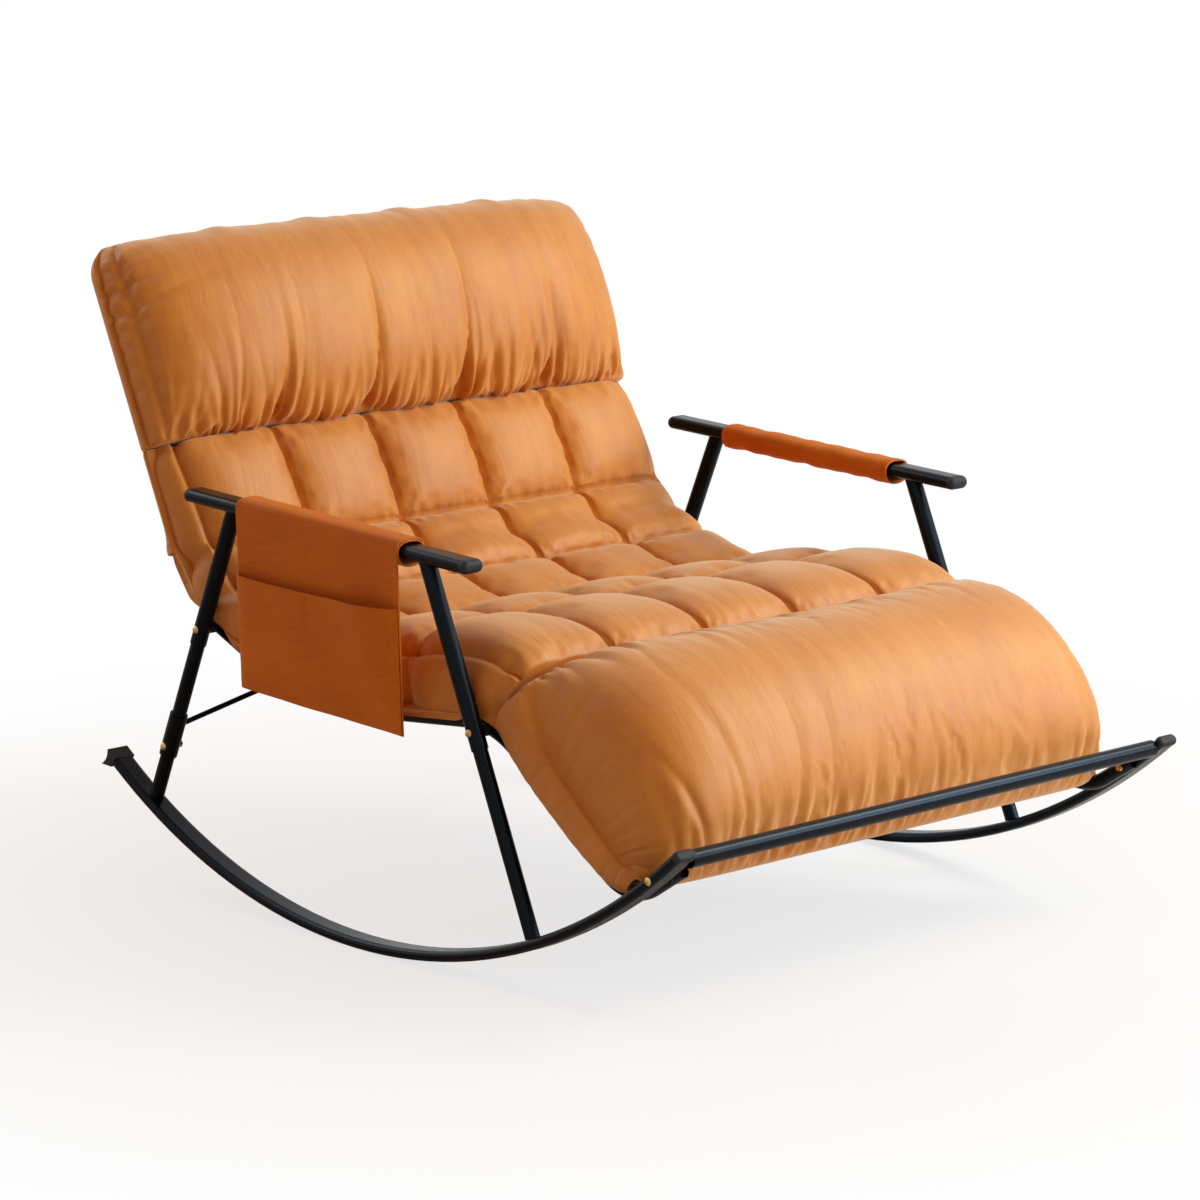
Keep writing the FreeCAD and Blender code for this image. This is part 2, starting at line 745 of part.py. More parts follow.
# Front bolster: side-view outlines lofted across the chair, smaller at both ends
def bolster_section(x, shrink):
    """The roll's outline: along the sling, up its chin, round its front and back over its crown."""
    foot_places = [pad_start - seam_gap] + toe_places[:0:-1]
    foot_points = [section_point(place, x, pad_base + shrink / 4) for place in foot_places]
    seam_top = section_point(pad_start - seam_gap, x, pad_base + seam_heights[0] - shrink / 2)
    chin = toe + Vector(x, shrink / 2 - bolster_chin_ahead, bolster_chin_rise + shrink / 4)
    front = toe + Vector(x, shrink - bolster_front_ahead, bolster_front_rise)
    crown = hump + Vector(x, shrink / 2 - bolster_crown_ahead, bolster_crown_rise - shrink)
    chin_middle = (chin + front) * 0.5 + side_point(-bolster_chin_out, -bolster_chin_down)
    shoulder = (front + crown) * 0.5 + side_point(-bolster_shoulder_out, bolster_shoulder_up)
    crown_middle = (crown + seam_top) * 0.5 + side_point(0, bolster_seam_puff)
    edges = []
    for start, end in zip(foot_points, foot_points[1:] + [chin]):
        edges.append(Part.LineSegment(start, end).toShape())
    edges.append(Part.Arc(chin, chin_middle, front).toShape())
    edges.append(Part.Arc(front, shoulder, crown).toShape())
    edges.append(Part.Arc(crown, crown_middle, seam_top).toShape())
    edges.append(Part.LineSegment(seam_top, foot_points[0]).toShape())
    return Part.Wire(edges)


bolster_half_width = pad_half_width + pad_side_bulge
bolster_sections = []
for inset, shrink in bolster_end_steps:
    bolster_sections.append(bolster_section(inset - bolster_half_width, shrink))
bolster_sections.append(bolster_section(0, 0))
for inset, shrink in reversed(bolster_end_steps):
    bolster_sections.append(bolster_section(bolster_half_width - inset, shrink))
export("front_bolster", Part.makeLoft(bolster_sections, True, True))


# Rear cover: a cloth tray over the back of the hoop, open to the front
def back_box(half, low, high, start, end):
    """A box square to the back, from a rise along it to another, between two depths."""
    corner = knee + back_heading * start + back_up * low
    box = Part.makeBox(2 * half, end - start, high - low)
    turn = FreeCAD.Rotation(X_AXIS, back_heading, back_up, "XYZ")
    box.Placement = FreeCAD.Placement(shifted(corner, -half), turn)
    return box


back_length = (hoop_top - knee).Length
pillow_past_hoop = pad_end + seam_gap + pillow_length - seat_line.length
cover_inner = rail_od / 2 + cover_clearance
cover_half_width = rail_plane + rail_od / 2 + cover_side_gap + cover_thickness
cover_end = back_length + pillow_past_hoop - cover_thickness
cover_lip = pad_base - seat_gap
cover = back_box(
    cover_half_width, -cover_inner - cover_thickness, cover_lip, cover_hem_rise, cover_end + cover_thickness,
)
cover_room = back_box(
    cover_half_width - cover_thickness, -cover_inner, 2 * cover_lip, -cover_hem_rise, cover_end,
)
export("rear_cover", cover.cut(cover_room))


# Arm sleeves: cloth tubes round the arms
sleeve_width = arm_width + 2 * (sleeve_clearance + sleeve_thickness)
sleeve_depth = arm_thickness + 2 * (sleeve_clearance + sleeve_thickness)
for side, sign in SIDES:
    x = sign * leg_plane
    skin = arm_bar(x, sleeve_length / 2, sleeve_width, sleeve_depth)
    room_width = arm_width + 2 * sleeve_clearance
    room_depth = arm_thickness + 2 * sleeve_clearance
    room = arm_bar(x, sleeve_length / 2, room_width, room_depth)
    export(side + "_arm_sleeve", skin.cut(room))


# Pocket: a cloth panel that hangs outside the right-hand sleeve, with a pouch sewn on it
def pocket_box(along_half, outer, inner, top, bottom):
    """A box along the arm, between two distances out from the arm and two drops below it."""
    corner = arm_point(-along_half, -leg_plane - outer, -bottom)
    box = Part.makeBox(outer - inner, 2 * along_half, bottom - top)
    box.Placement = FreeCAD.Placement(corner, FreeCAD.Rotation(X_AXIS, arm_heading, arm_up, "XYZ"))
    return box


panel_inner = sleeve_width / 2 + pocket_clearance
panel_outer = panel_inner + pocket_sheet
pouch_top = pocket_drop - pouch_height
panel = pocket_box(pocket_width / 2, panel_outer, panel_inner, pocket_hinge_drop, pocket_drop)
export("pocket_panel", panel)


def pouch_section(drop, half, inner, depth):
    """A shallow bag: flat against the panel, rounded up at both sides, bulged in front."""
    shoulder = depth - pouch_front_bulge

    def spot(along, out):
        return arm_point(along, -leg_plane - out, -drop)

    side = half - pouch_side_run
    rounding = pouch_side_run * (1 - math.sqrt(0.5))
    rise = inner + (shoulder - inner) * math.sqrt(0.5)
    return Part.Wire([
        Part.LineSegment(spot(half, inner), spot(-half, inner)).toShape(),
        Part.Arc(spot(-half, inner), spot(rounding - half, rise), spot(-side, shoulder)).toShape(),
        Part.Arc(spot(-side, shoulder), spot(0, depth), spot(side, shoulder)).toShape(),
        Part.Arc(spot(side, shoulder), spot(half - rounding, rise), spot(half, inner)).toShape(),
    ])


def pouch_loft(top, bottom, half, inner, inset):
    """The bag from its mouth to its closed bottom, with its front drawn in by the inset."""
    middle = (pouch_top + pocket_drop) / 2
    sections = []
    for drop, depth in ((top, pouch_mouth_depth), (middle, pouch_middle_depth), (bottom, pouch_bottom_depth)):
        sections.append(pouch_section(drop, half, inner, panel_outer + seat_gap + depth - inset))
    return Part.makeLoft(sections, True, True)


pouch = pouch_loft(pouch_top, pocket_drop, pocket_width / 2, panel_outer + seat_gap, 0)
pouch_room = pouch_loft(
    pouch_top - pocket_sheet, pocket_drop - pocket_sheet, pocket_width / 2 - pocket_sheet,
    panel_outer, pocket_sheet,
)
export("pocket_pouch", pouch.cut(pouch_room))
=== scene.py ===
import bpy
import math
import numpy as np
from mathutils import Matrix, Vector


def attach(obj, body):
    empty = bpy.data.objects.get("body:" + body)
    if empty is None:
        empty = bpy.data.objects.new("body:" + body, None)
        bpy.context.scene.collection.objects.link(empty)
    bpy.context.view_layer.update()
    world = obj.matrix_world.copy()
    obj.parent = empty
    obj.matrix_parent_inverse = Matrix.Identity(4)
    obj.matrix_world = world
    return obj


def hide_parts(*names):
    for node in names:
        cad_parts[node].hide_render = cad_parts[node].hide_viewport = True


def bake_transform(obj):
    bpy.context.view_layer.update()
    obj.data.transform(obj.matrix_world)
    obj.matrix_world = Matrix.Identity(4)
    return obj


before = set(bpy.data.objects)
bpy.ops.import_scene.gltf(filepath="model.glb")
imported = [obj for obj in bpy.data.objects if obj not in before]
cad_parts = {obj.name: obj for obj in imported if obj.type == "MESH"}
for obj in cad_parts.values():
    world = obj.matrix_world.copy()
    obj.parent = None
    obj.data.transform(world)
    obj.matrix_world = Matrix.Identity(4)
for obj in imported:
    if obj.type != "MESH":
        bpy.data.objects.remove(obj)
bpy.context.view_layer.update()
scene = bpy.context.scene
scene.view_settings.view_transform = "Standard"


# The photographer's side: a long lens at eye height, tipped down and turned to the chair's right
# front, so that the pocket arm is near and the front bar runs up to the right.
camera_yaw = 0.754935
camera_pitch = 0.196784
camera_lens = 137.76
camera_sensor = 36.0
camera_sight = 60.0
camera_place = Vector((-4.66819, -4.93449, 1.799685))


def turn_to(thing, heading):
    thing.rotation_mode = "QUATERNION"
    thing.rotation_quaternion = heading.to_track_quat("-Z", "Y")


camera = bpy.data.objects.new("camera", bpy.data.cameras.new("camera"))
scene.collection.objects.link(camera)
camera.data.lens = camera_lens
camera.data.sensor_width = camera_sensor
camera.data.clip_end = camera_sight
camera.location = camera_place
turn_to(camera, Vector((
    math.sin(camera_yaw) * math.cos(camera_pitch),
    math.cos(camera_yaw) * math.cos(camera_pitch),
    -math.sin(camera_pitch),
)))
scene.camera = camera


# The studio: a pale floor that runs out into a white surround, which lights the chair warmly from
# all round. A broad lamp hangs high at the sitter's left front, a weaker one stands in front, and a
# small bluish one low at the left draws lines of light on the black tubes. One more stands behind.
seat_middle = (0.0, 0.0, 0.4)
surround_warm = (1.0, 0.52, 0.22)
surround_strength = 0.33
floor_half = 9.0


def area_lamp(name, place, aim, size, watts, colour):
    lamp = bpy.data.objects.new(name, bpy.data.lights.new(name, "AREA"))
    scene.collection.objects.link(lamp)
    lamp.data.shape = "DISK"
    lamp.data.size = size
    lamp.data.energy = watts
    lamp.data.color = colour
    lamp.location = place
    turn_to(lamp, Vector(aim) - Vector(place))


area_lamp("window_lamp", (3.0, -2.0, 3.3), seat_middle, size=2.0, watts=130.0, colour=(0.96, 1.0, 0.94))
area_lamp("fill_lamp", (1.2, -4.4, 1.9), seat_middle, size=2.6, watts=66.0, colour=(1.0, 1.0, 0.92))
area_lamp("sky_lamp", (2.3, -2.6, 1.3), (0.0, -0.2, 0.4), size=0.9, watts=44.0, colour=(0.55, 0.76, 1.0))
area_lamp("back_lamp", (-1.2, 3.2, 2.8), (0.0, 0.2, 0.6), size=2.0, watts=34.0, colour=(0.92, 0.96, 1.0))


class Shade:
    """A socket of a node tree that takes part in Python expressions."""

    def __init__(self, tree, socket):
        self.tree = tree
        self.socket = socket

    def math(self, operation, other):
        node = self.tree.nodes.new("ShaderNodeMath")
        node.operation = operation
        self.tree.links.new(self.socket, node.inputs[0])
        if isinstance(other, Shade):
            self.tree.links.new(other.socket, node.inputs[1])
        else:
            node.inputs[1].default_value = other
        return Shade(self.tree, node.outputs[0])

    def __add__(self, other):
        return self.math("ADD", other)

    def __mul__(self, other):
        return self.math("MULTIPLY", other)

    __radd__ = __add__
    __rmul__ = __mul__


surround = bpy.data.worlds.new("surround")
scene.world = surround
surround.use_nodes = True
surround_tree = surround.node_tree
surround_tree.nodes.clear()


def background(colour, strength):
    node = surround_tree.nodes.new("ShaderNodeBackground")
    node.inputs["Color"].default_value = (*colour, 1.0)
    node.inputs["Strength"].default_value = strength
    return node.outputs[0]


surround_rays = surround_tree.nodes.new("ShaderNodeLightPath")
seen, mirrored, passed = (
    Shade(surround_tree, surround_rays.outputs[kind])
    for kind in ("Is Camera Ray", "Is Glossy Ray", "Is Transmission Ray")
)
surround_mix = surround_tree.nodes.new("ShaderNodeMixShader")
surround_out = surround_tree.nodes.new("ShaderNodeOutputWorld")
for source, target in (
    (seen.math("MAXIMUM", mirrored.math("MAXIMUM", passed)).socket, surround_mix.inputs[0]),
    (background(surround_warm, surround_strength), surround_mix.inputs[1]),
    (background((1.0, 1.0, 1.0), 1.0), surround_mix.inputs[2]),
    (surround_mix.outputs[0], surround_out.inputs["Surface"]),
):
    surround_tree.links.new(source, target)


class Finish:
    """A material with a Principled shader, and one method for any other node."""

    def __init__(self, name, **constants):
        self.material = bpy.data.materials.new(name)
        self.material.use_nodes = True
        self.tree = self.material.node_tree
        self.shader = self.tree.nodes["Principled BSDF"]
        self.feed(**constants)

    def node(self, kind, settings=None, output=0, **sockets):
        """A node with its settings; its sockets are given by name, or by number as i0, i1 and so on."""
        node = self.tree.nodes.new("ShaderNode" + kind)
        for key, value in (settings or {}).items():
            if key == "stops":
                ramp = node.color_ramp
                while len(ramp.elements) < len(value):
                    ramp.elements.new(0.5)
                for element, (place, colour) in zip(ramp.elements, value):
                    element.position = place
                    element.color = (*colour, 1.0)
            else:
                setattr(node, key, value)
        for key, value in sockets.items():
            self.join(value, node.inputs[int(key[1:]) if key[1:].isdigit() else key.replace("_", " ")])
        return Shade(self.tree, node.outputs[output])

    def join(self, value, socket):
        if isinstance(value, Shade):
            self.tree.links.new(value.socket, socket)
        else:
            socket.default_value = value

    def feed(self, **sockets):
        for key, value in sockets.items():
            self.join(value, self.shader.inputs[key.replace("_", " ")])

    def places(self):
        return self.node("TexCoord", output=3)

    def noise(self, where, scale, detail=2.0, roughness=0.5):
        return self.node("TexNoise", Vector=where, Scale=scale, Detail=detail, Roughness=roughness)

    def ramp(self, value, *stops):
        return self.node("ValToRGB", {"stops": stops}, Fac=value)

    def bump(self, height, strength, distance):
        return self.node("Bump", Height=height, Strength=strength, Distance=distance)


floor_mesh = bpy.data.meshes.new("floor")
floor_corners = [(x * floor_half, y * floor_half, 0) for x, y in ((-1, -1), (1, -1), (1, 1), (-1, 1))]
floor_mesh.from_pydata(floor_corners, [], [(0, 1, 2, 3)])
floor = bpy.data.objects.new("floor", floor_mesh)
scene.collection.objects.link(floor)

floor_finish = Finish("pale_floor", Roughness=0.9, Specular_IOR_Level=0.1)
floor_spots = floor_finish.noise(floor_finish.places(), 3.0)
floor_finish.feed(
    Base_Color=floor_finish.ramp(floor_spots, (0.3, (0.86, 0.86, 0.86)), (0.7, (0.88, 0.88, 0.88))),
)
floor_seen = floor_finish.node("LightPath")
floor_white = floor_finish.node("Emission", Color=(1.0, 1.0, 1.0, 1.0), Strength=1.0)
floor_lit = Shade(floor_finish.tree, floor_finish.shader.outputs[0])
floor_far = floor_finish.node("VectorMath", {"operation": "LENGTH"}, 1, i0=floor_finish.places())
floor_fade = floor_finish.node(
    "MapRange", {"interpolation_type": "SMOOTHSTEP"},
    Value=floor_far, From_Min=0.5, From_Max=2.0, To_Min=0.74, To_Max=1.0,
)
floor_mix = floor_finish.node("MixShader", i0=floor_seen * floor_fade, i1=floor_lit, i2=floor_white)
floor_finish.join(floor_mix, floor_finish.tree.nodes["Material Output"].inputs["Surface"])
floor_mesh.materials.append(floor_finish.material)


# The frame: bent and welded steel tube with a satin black powder coat. The coat has a fine
# orange-peel texture and an uneven shine, and its highlights are a little blue.
def powder_coat():
    finish = Finish("black_powder_coat", Specular_IOR_Level=0.13, Specular_Tint=(0.55, 0.76, 1.0, 1.0))
    where = finish.places()
    peel = finish.noise(where, 900.0, 2.0, 0.6)
    cloud = finish.noise(where, 14.0, 3.0, 0.55)
    finish.feed(
        Base_Color=finish.ramp(cloud, (0.3, (0.0020, 0.0020, 0.0022)), (0.72, (0.0042, 0.0043, 0.0047))),
        Roughness=0.2 + cloud * 0.1,
        Normal=finish.bump(peel, 0.16, 0.0006),
    )
    return finish.material


def coat_nodes(material, names):
    for name in names:
        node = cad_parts[name]
        node.data.materials.clear()
        node.data.materials.append(material)


def both_sides(*names):
    return [side + "_" + name for name in names for side in ("left", "right")]


side_tubes = both_sides(
    "runner", "arm_rail", "front_upper_leg", "front_lower_leg", "rear_upper_leg", "rear_lower_leg",
    "rear_leg_collar", "rear_runner_stub", "rear_stay_rod", "seat_rail",
)
cross_tubes = ["back_hoop", "back_cross_tube", "rear_cross_tube", "toe_cross_tube", "front_bar"]
coat_nodes(powder_coat(), side_tubes + cross_tubes)


# Plugs, caps and stops close the open ends of the tubes, and spacers and washers are clamped in
# the bolted joints. All are moulded of black plastic with a fine spark grain.
def moulded_plastic():
    finish = Finish("moulded_plastic", Specular_IOR_Level=0.25)
    where = finish.places()
    grain = finish.node("TexVoronoi", Vector=where, Scale=1400.0)
    cloud = finish.noise(where, 30.0)
    finish.feed(
        Base_Color=finish.ramp(cloud, (0.3, (0.008, 0.008, 0.0085)), (0.7, (0.015, 0.015, 0.016))),
        Roughness=0.5 + cloud * 0.16,
        Normal=finish.bump(grain, 0.2, 0.0004),
    )
    return finish.material


tube_ends = both_sides("runner_front_cap", "runner_rear_stop", "arm_front_plug", "arm_rear_plug")
coat_nodes(moulded_plastic(), tube_ends + ["leg_rail_spacers", "toe_washers"])


# Bolts and nuts: steel with a yellow plating that has dulled unevenly. They hold the legs to the
# rails, the rails' toes to the runners and the collars to the rear legs.
def yellow_plating():
    finish = Finish("yellow_plating", Metallic=1.0)
    cloud = finish.noise(finish.places(), 160.0, 3.0)
    finish.feed(
        Base_Color=finish.ramp(cloud, (0.3, (0.36, 0.2, 0.06)), (0.7, (0.62, 0.4, 0.15))),
        Roughness=0.28 + cloud * 0.2,
    )
    return finish.material


bolted = [place + thing for place in ("leg_joint_", "toe_", "collar_") for thing in ("bolts", "nuts")]
coat_nodes(yellow_plating(), bolted)


# Sling: black woven cloth stretched between the side rails and up the back, under the cushions.
# It and every cushion lie on one line, the side view of the bent rails and the back hoop: straight
# runs joined by bends, measured in metres from the rails' front end.
line_corners = [
    (-0.63185, 0.22830), (-0.53098, 0.16201), (-0.256, 0.371), (0.156, 0.330),
    (0.378, 0.424), (0.446, 0.515), (0.624, 0.898),
]
line_radii = [0.080, 0.150, 0.350, 0.060, 0.150]
line_past_end = 0.2
bend_points = 40
hard_edge = math.radians(62)
sling_half = 0.4782
sling_start = 0.095
sling_end = 1.6285
sling_height = 0.0134
sling_thick = 0.0018
sling_rows = 150
sling_columns = 40


def unit(vector):
    return vector / np.linalg.norm(vector)


def bent_line(corners, radii, past_end):
    """Points along the runs and bends, with the length at which each one lies."""
    corners = [np.array(corner) for corner in corners]
    points = [corners[0]]
    for before, corner, after, radius in zip(corners, corners[1:], corners[2:], radii):
        inward = unit(before - corner)
        outward = unit(after - corner)
        half_turn = (math.pi - math.acos(inward @ outward)) / 2
        centre = corner + unit(inward + outward) * radius / math.cos(half_turn)
        start = corner + inward * radius * math.tan(half_turn) - centre
        end = corner + outward * radius * math.tan(half_turn) - centre
        sweep = math.atan2(start[0] * end[1] - start[1] * end[0], start @ end)
        for turn in np.linspace(0, sweep, bend_points):
            cos, sin = math.cos(turn), math.sin(turn)
            points.append(centre + (start[0] * cos - start[1] * sin, start[0] * sin + start[1] * cos))
    points.append(corners[-1] + unit(corners[-1] - corners[-2]) * past_end)
    points = np.array(points)
    steps = np.linalg.norm(np.diff(points, axis=0), axis=1)
    return np.concatenate([[0], np.cumsum(steps)]), points


line_lengths, line_points = bent_line(line_corners, line_radii, line_past_end)


def along_line(place):
    return np.stack([np.interp(place, line_lengths, line_points[:, axis]) for axis in (0, 1)], axis=-1)


def on_line(place, height, reach=0.004):
    """Side-view points at a length along the line, raised square to its run over the reach each way."""
    place, height = np.broadcast_arrays(place, height)
    heading = along_line(place + reach) - along_line(place - reach)
    heading /= np.linalg.norm(heading, axis=-1, keepdims=True)
    square = np.stack([-heading[..., 1], heading[..., 0]], axis=-1)
    return along_line(place) + square * height[..., None]


def with_width(xs, side_view):
    """Points from their places across the chair and their places in its side view."""
    points = np.empty(side_view.shape[:2] + (3,))
    points[:, :, 0] = xs
    points[:, :, 1:] = side_view
    return points


def grid_faces(rows, columns, around=False):
    """Quads over a grid of numbered points, with the ring closed or open."""
    numbers = np.arange(rows * columns).reshape(rows, columns)
    if around:
        numbers = np.concatenate([numbers, numbers[:, :1]], axis=1)
    corners = (numbers[:-1, :-1], numbers[:-1, 1:], numbers[1:, 1:], numbers[1:, :-1])
    return np.stack([corner.ravel() for corner in corners], axis=1).tolist()


def outward(grid, around=False):
    """The direction square to a grid at each of its points."""
    down_rows = np.gradient(grid, axis=0)
    if around:
        across = np.roll(grid, -1, axis=1) - np.roll(grid, 1, axis=1)
    else:
        across = np.gradient(grid, axis=1)
    square = np.cross(across, down_rows)
    return square / np.maximum(np.linalg.norm(square, axis=2, keepdims=True), 1e-12)


def add_piece(name, points, faces, material):
    mesh = bpy.data.meshes.new(name)
    mesh.from_pydata(points.reshape(-1, 3).tolist(), [], faces)
    mesh.materials.append(material)
    mesh.shade_smooth()
    mesh.set_sharp_from_angle(angle=hard_edge)
    piece = bpy.data.objects.new(name, mesh)
    scene.collection.objects.link(piece)
    return piece


def thick_cloth(name, grid, thickness, material, around=False):
    """A closed sheet about a grid of points: two faces a thickness apart, joined at its hems."""
    rows, columns = grid.shape[:2]
    step = outward(grid, around) * (thickness / 2)[:, :, None]
    points = np.concatenate([(grid + step).reshape(-1, 3), (grid - step).reshape(-1, 3)])
    count = rows * columns
    front = grid_faces(rows, columns, around)
    faces = front + [[corner + count for corner in face[::-1]] for face in front]
    ring = np.arange(columns)
    rims = [(ring, 1), (ring + (rows - 1) * columns, -1)]
    if around:
        rims = [(np.append(rim, rim[0]), way) for rim, way in rims]
    else:
        stack = np.arange(rows) * columns
        rims += [(stack, -1), (stack + columns - 1, 1)]
    for rim, way in rims:
        for near, far in zip(rim[:-1].tolist(), rim[1:].tolist()):
            face = [far, near, near + count, far + count]
            faces.append(face if way > 0 else face[::-1])
    return add_piece(name, points, faces, material)


def threads(finish, where, direction, scale, distortion):
    settings = {"bands_direction": direction}
    return finish.node("TexWave", settings, 1, Vector=where, Scale=scale, Distortion=distortion)


def black_weave():
    finish = Finish("black_weave", Specular_IOR_Level=0.3, Sheen_Weight=0.2)
    where = finish.places()
    warp, weft = (threads(finish, where, way, 260.0, 0.4) for way in ("X", "Y"))
    cloud = finish.noise(where, 12.0, 3.0)
    finish.feed(
        Base_Color=finish.ramp(cloud, (0.3, (0.010, 0.010, 0.011)), (0.7, (0.019, 0.019, 0.021))),
        Roughness=0.72 + cloud * 0.15,
        Normal=finish.bump(warp * weft, 0.35, 0.0006),
    )
    return finish.material


sling_xs = np.linspace(-sling_half, sling_half, sling_columns)
sling_places = np.linspace(sling_start, sling_end, sling_rows)[:, None]
sling_grid = with_width(sling_xs, on_line(sling_places, np.full((1, sling_columns), sling_height)))
sling_thicks = np.full((sling_rows, sling_columns), sling_thick)
woven_sling = thick_cloth("woven_sling", sling_grid, sling_thicks, black_weave())
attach(woven_sling, "chair")
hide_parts("seat_sling")


# Tufted pad: the seat and lower back in one long quilted cushion, held down in square puffs by rows
# and columns of stitching, with boxed sides that are drawn in where a row ends. Its cover is a smooth
# leather-like cloth in warm tan, with a soft sheen, a mottled nap and a fine pebbled grain.
pad_start = 0.43276
pad_end = 1.37430
pad_rows = 5
pad_columns = 5
pad_half = 0.462
pad_cells = 16
cell_crowding = 0.5
cover_finer = 3
seam_gap = 0.0006
# Heights over the line: of the seams from front to head, of the puffs, and the fall of the edges.
pad_base = 0.0153
pad_fan = 0.09
pad_seam_heights = (0.094, 0.100, 0.081, 0.073, 0.060, 0.045)
pad_crown = 0.017
puff_square = 3.4
outer_puff = 0.82
outer_columns = 0.6
row_swell = 0.005
pad_edge_falls = (0.024, 0.034, 0.032, 0.022, 0.016, 0.026)
pad_edge_run = 0.060
pad_edge_steep = 0.97
# The boxed sides, drawn in at each row, and the lip and foot that lie on the rail and over the sock.
pad_bulge = 0.024
pad_reach = 0.4885
drawn_in_share = 0.55
drawn_in_run = 0.22
foot_columns = 12
foot_x = 0.4797
lip_x = 0.4838
lip_height = 0.001
bolt_places = (0.45246, 1.08005)
bolt_room = 0.042
heel_place = 1.165
heel_drop = 0.010
heel_room = 0.045
sock_hem_place = 1.214
sock_lap = 0.03
lip_over_sock = 0.0030
foot_over_sock = 0.0046
# What the stitching pulls in: peaks of the head seam, grooves, dimples where they cross, and folds.
peak_rise = 0.004
peak_width = 0.022
peak_fade = 0.035
pad_groove = 0.0080
pad_end_groove = 0.0030
pad_groove_width = 0.0050
dimple_depth = 0.005
dimple_width = 0.014
fold_clear = 0.004
fold_least_gap = 0.0005


def tan_cloth():
    finish = Finish(
        "tan_cloth", Sheen_Weight=0.5, Sheen_Roughness=0.5, Sheen_Tint=(1.0, 0.95, 0.7, 1.0),
        Specular_IOR_Level=0.6, Specular_Tint=(0.95, 1.0, 0.85, 1.0),
    )
    where = finish.places()
    nap = finish.noise(where, 7.0, 4.0, 0.6)
    speck = finish.noise(where, 90.0, 3.0, 0.6)
    grain = finish.noise(where, 620.0, 3.0, 0.55)
    pebble = finish.node("TexVoronoi", {"feature": "SMOOTH_F1"}, Vector=where, Scale=420.0, Smoothness=0.6)
    bent = finish.node("VectorMath", {"operation": "ADD"}, i0=where, i1=finish.noise(where, 5.0) * 0.05)
    streak = finish.noise(finish.node("Mapping", Vector=bent, Scale=(58.0, 7.0, 7.0)), 1.0, 3.0, 0.6)
    tone = nap * 0.45 + speck * 0.2 + streak * 0.35
    finish.feed(
        Base_Color=finish.ramp(
            tone, (0.36, (0.49, 0.140, 0.004)), (0.5, (0.56, 0.182, 0.008)), (0.64, (0.62, 0.224, 0.015)),
        ),
        Roughness=0.44 + speck * 0.18,
        Normal=finish.bump(pebble * 0.6 + grain * 0.4 + streak * 7.0, 0.2, 0.0008),
    )
    return finish.material


cover_cloth = tan_cloth()


def bell(gap, width, power=2):
    """A smooth hump: 1 where there is no gap, and gone soon after a width."""
    return np.exp(-(gap / width) ** power)


def fade_in(gap, width):
    return np.clip(gap / width, 0, 1)


def round_fall(share, steep):
    """How far a round edge has fallen at a share of its run."""
    return 1 - np.sqrt(1 - steep * share ** 2)


def finer(rows, factor, around=False):
    """Cubic curves through the rows of a grid, with a factor more rows; open, or closed in a ring."""
    if around:
        ahead = np.concatenate([rows[-1:], rows, rows[:2]])
        spans = len(rows)
        place = np.arange(spans * factor) / factor
    else:
        ahead = np.concatenate([2 * rows[:1] - rows[1:2], rows, 2 * rows[-1:] - rows[-2:-1]])
        spans = len(rows) - 1
        place = np.arange(spans * factor + 1) / factor
    low = np.minimum(place.astype(int), spans - 1)
    share = (place - low).reshape(-1, *[1] * (rows.ndim - 1))
    first, second, third, fourth = (ahead[low + step] for step in range(4))
    return 0.5 * (
        2 * second + (third - first) * share
        + (2 * first - 5 * second + 4 * third - fourth) * share ** 2
        + (3 * second - first - 3 * third + fourth) * share ** 3
    )


def finer_cover(ring):
    """Rings with more rows and with more points in each ring."""
    return finer(finer(ring, cover_finer).swapaxes(0, 1), cover_finer, True).swapaxes(0, 1)


def top_only(ring, top_columns):
    """Which columns of a finer ring are on its top, not on its sides or underside."""
    return (np.arange(ring.shape[1]) <= (top_columns - 1) * cover_finer)[None, :]


def pulled_folds(seed, along, across, spots, reach, depth, width, sharp=1.5):
    """Depths of the folds that a sewn line pulls into cloth: narrow at the line, wider and fading away.

    The cloth that a fold takes up stands as a low ridge on one side of it."""
    ridge_share = 0.35
    ridge_gap = 1.9
    draw = np.random.default_rng(seed)
    total = np.zeros(np.broadcast_shapes(along.shape, across.shape))
    for spot in spots:
        lean = draw.uniform(-0.25, 0.25)
        run = reach * draw.uniform(0.4, 1.35)
        deep = depth * draw.uniform(0.35, 1.2)
        wide = width * draw.uniform(0.7, 1.4) * (1 + across / run)
        drift = (along - spot - lean * across) / wide
        ridge = ridge_share * np.exp(-(drift - draw.choice((-ridge_gap, ridge_gap))) ** 2)
        total += deep * (np.exp(-np.abs(drift) ** sharp) - ridge) * bell(across, run, power=1.6)
    return total


def gathers(seed, along, across, low, high, pitch, **fold):
    """Pulled folds from low to high, about a pitch apart and moved about a little."""
    draw = np.random.default_rng(seed + 1)
    count = int(round((high - low) / pitch))
    spots = np.linspace(low, high, count) + draw.uniform(-0.4, 0.4, count) * pitch
    return pulled_folds(seed, along, across, spots, **fold)


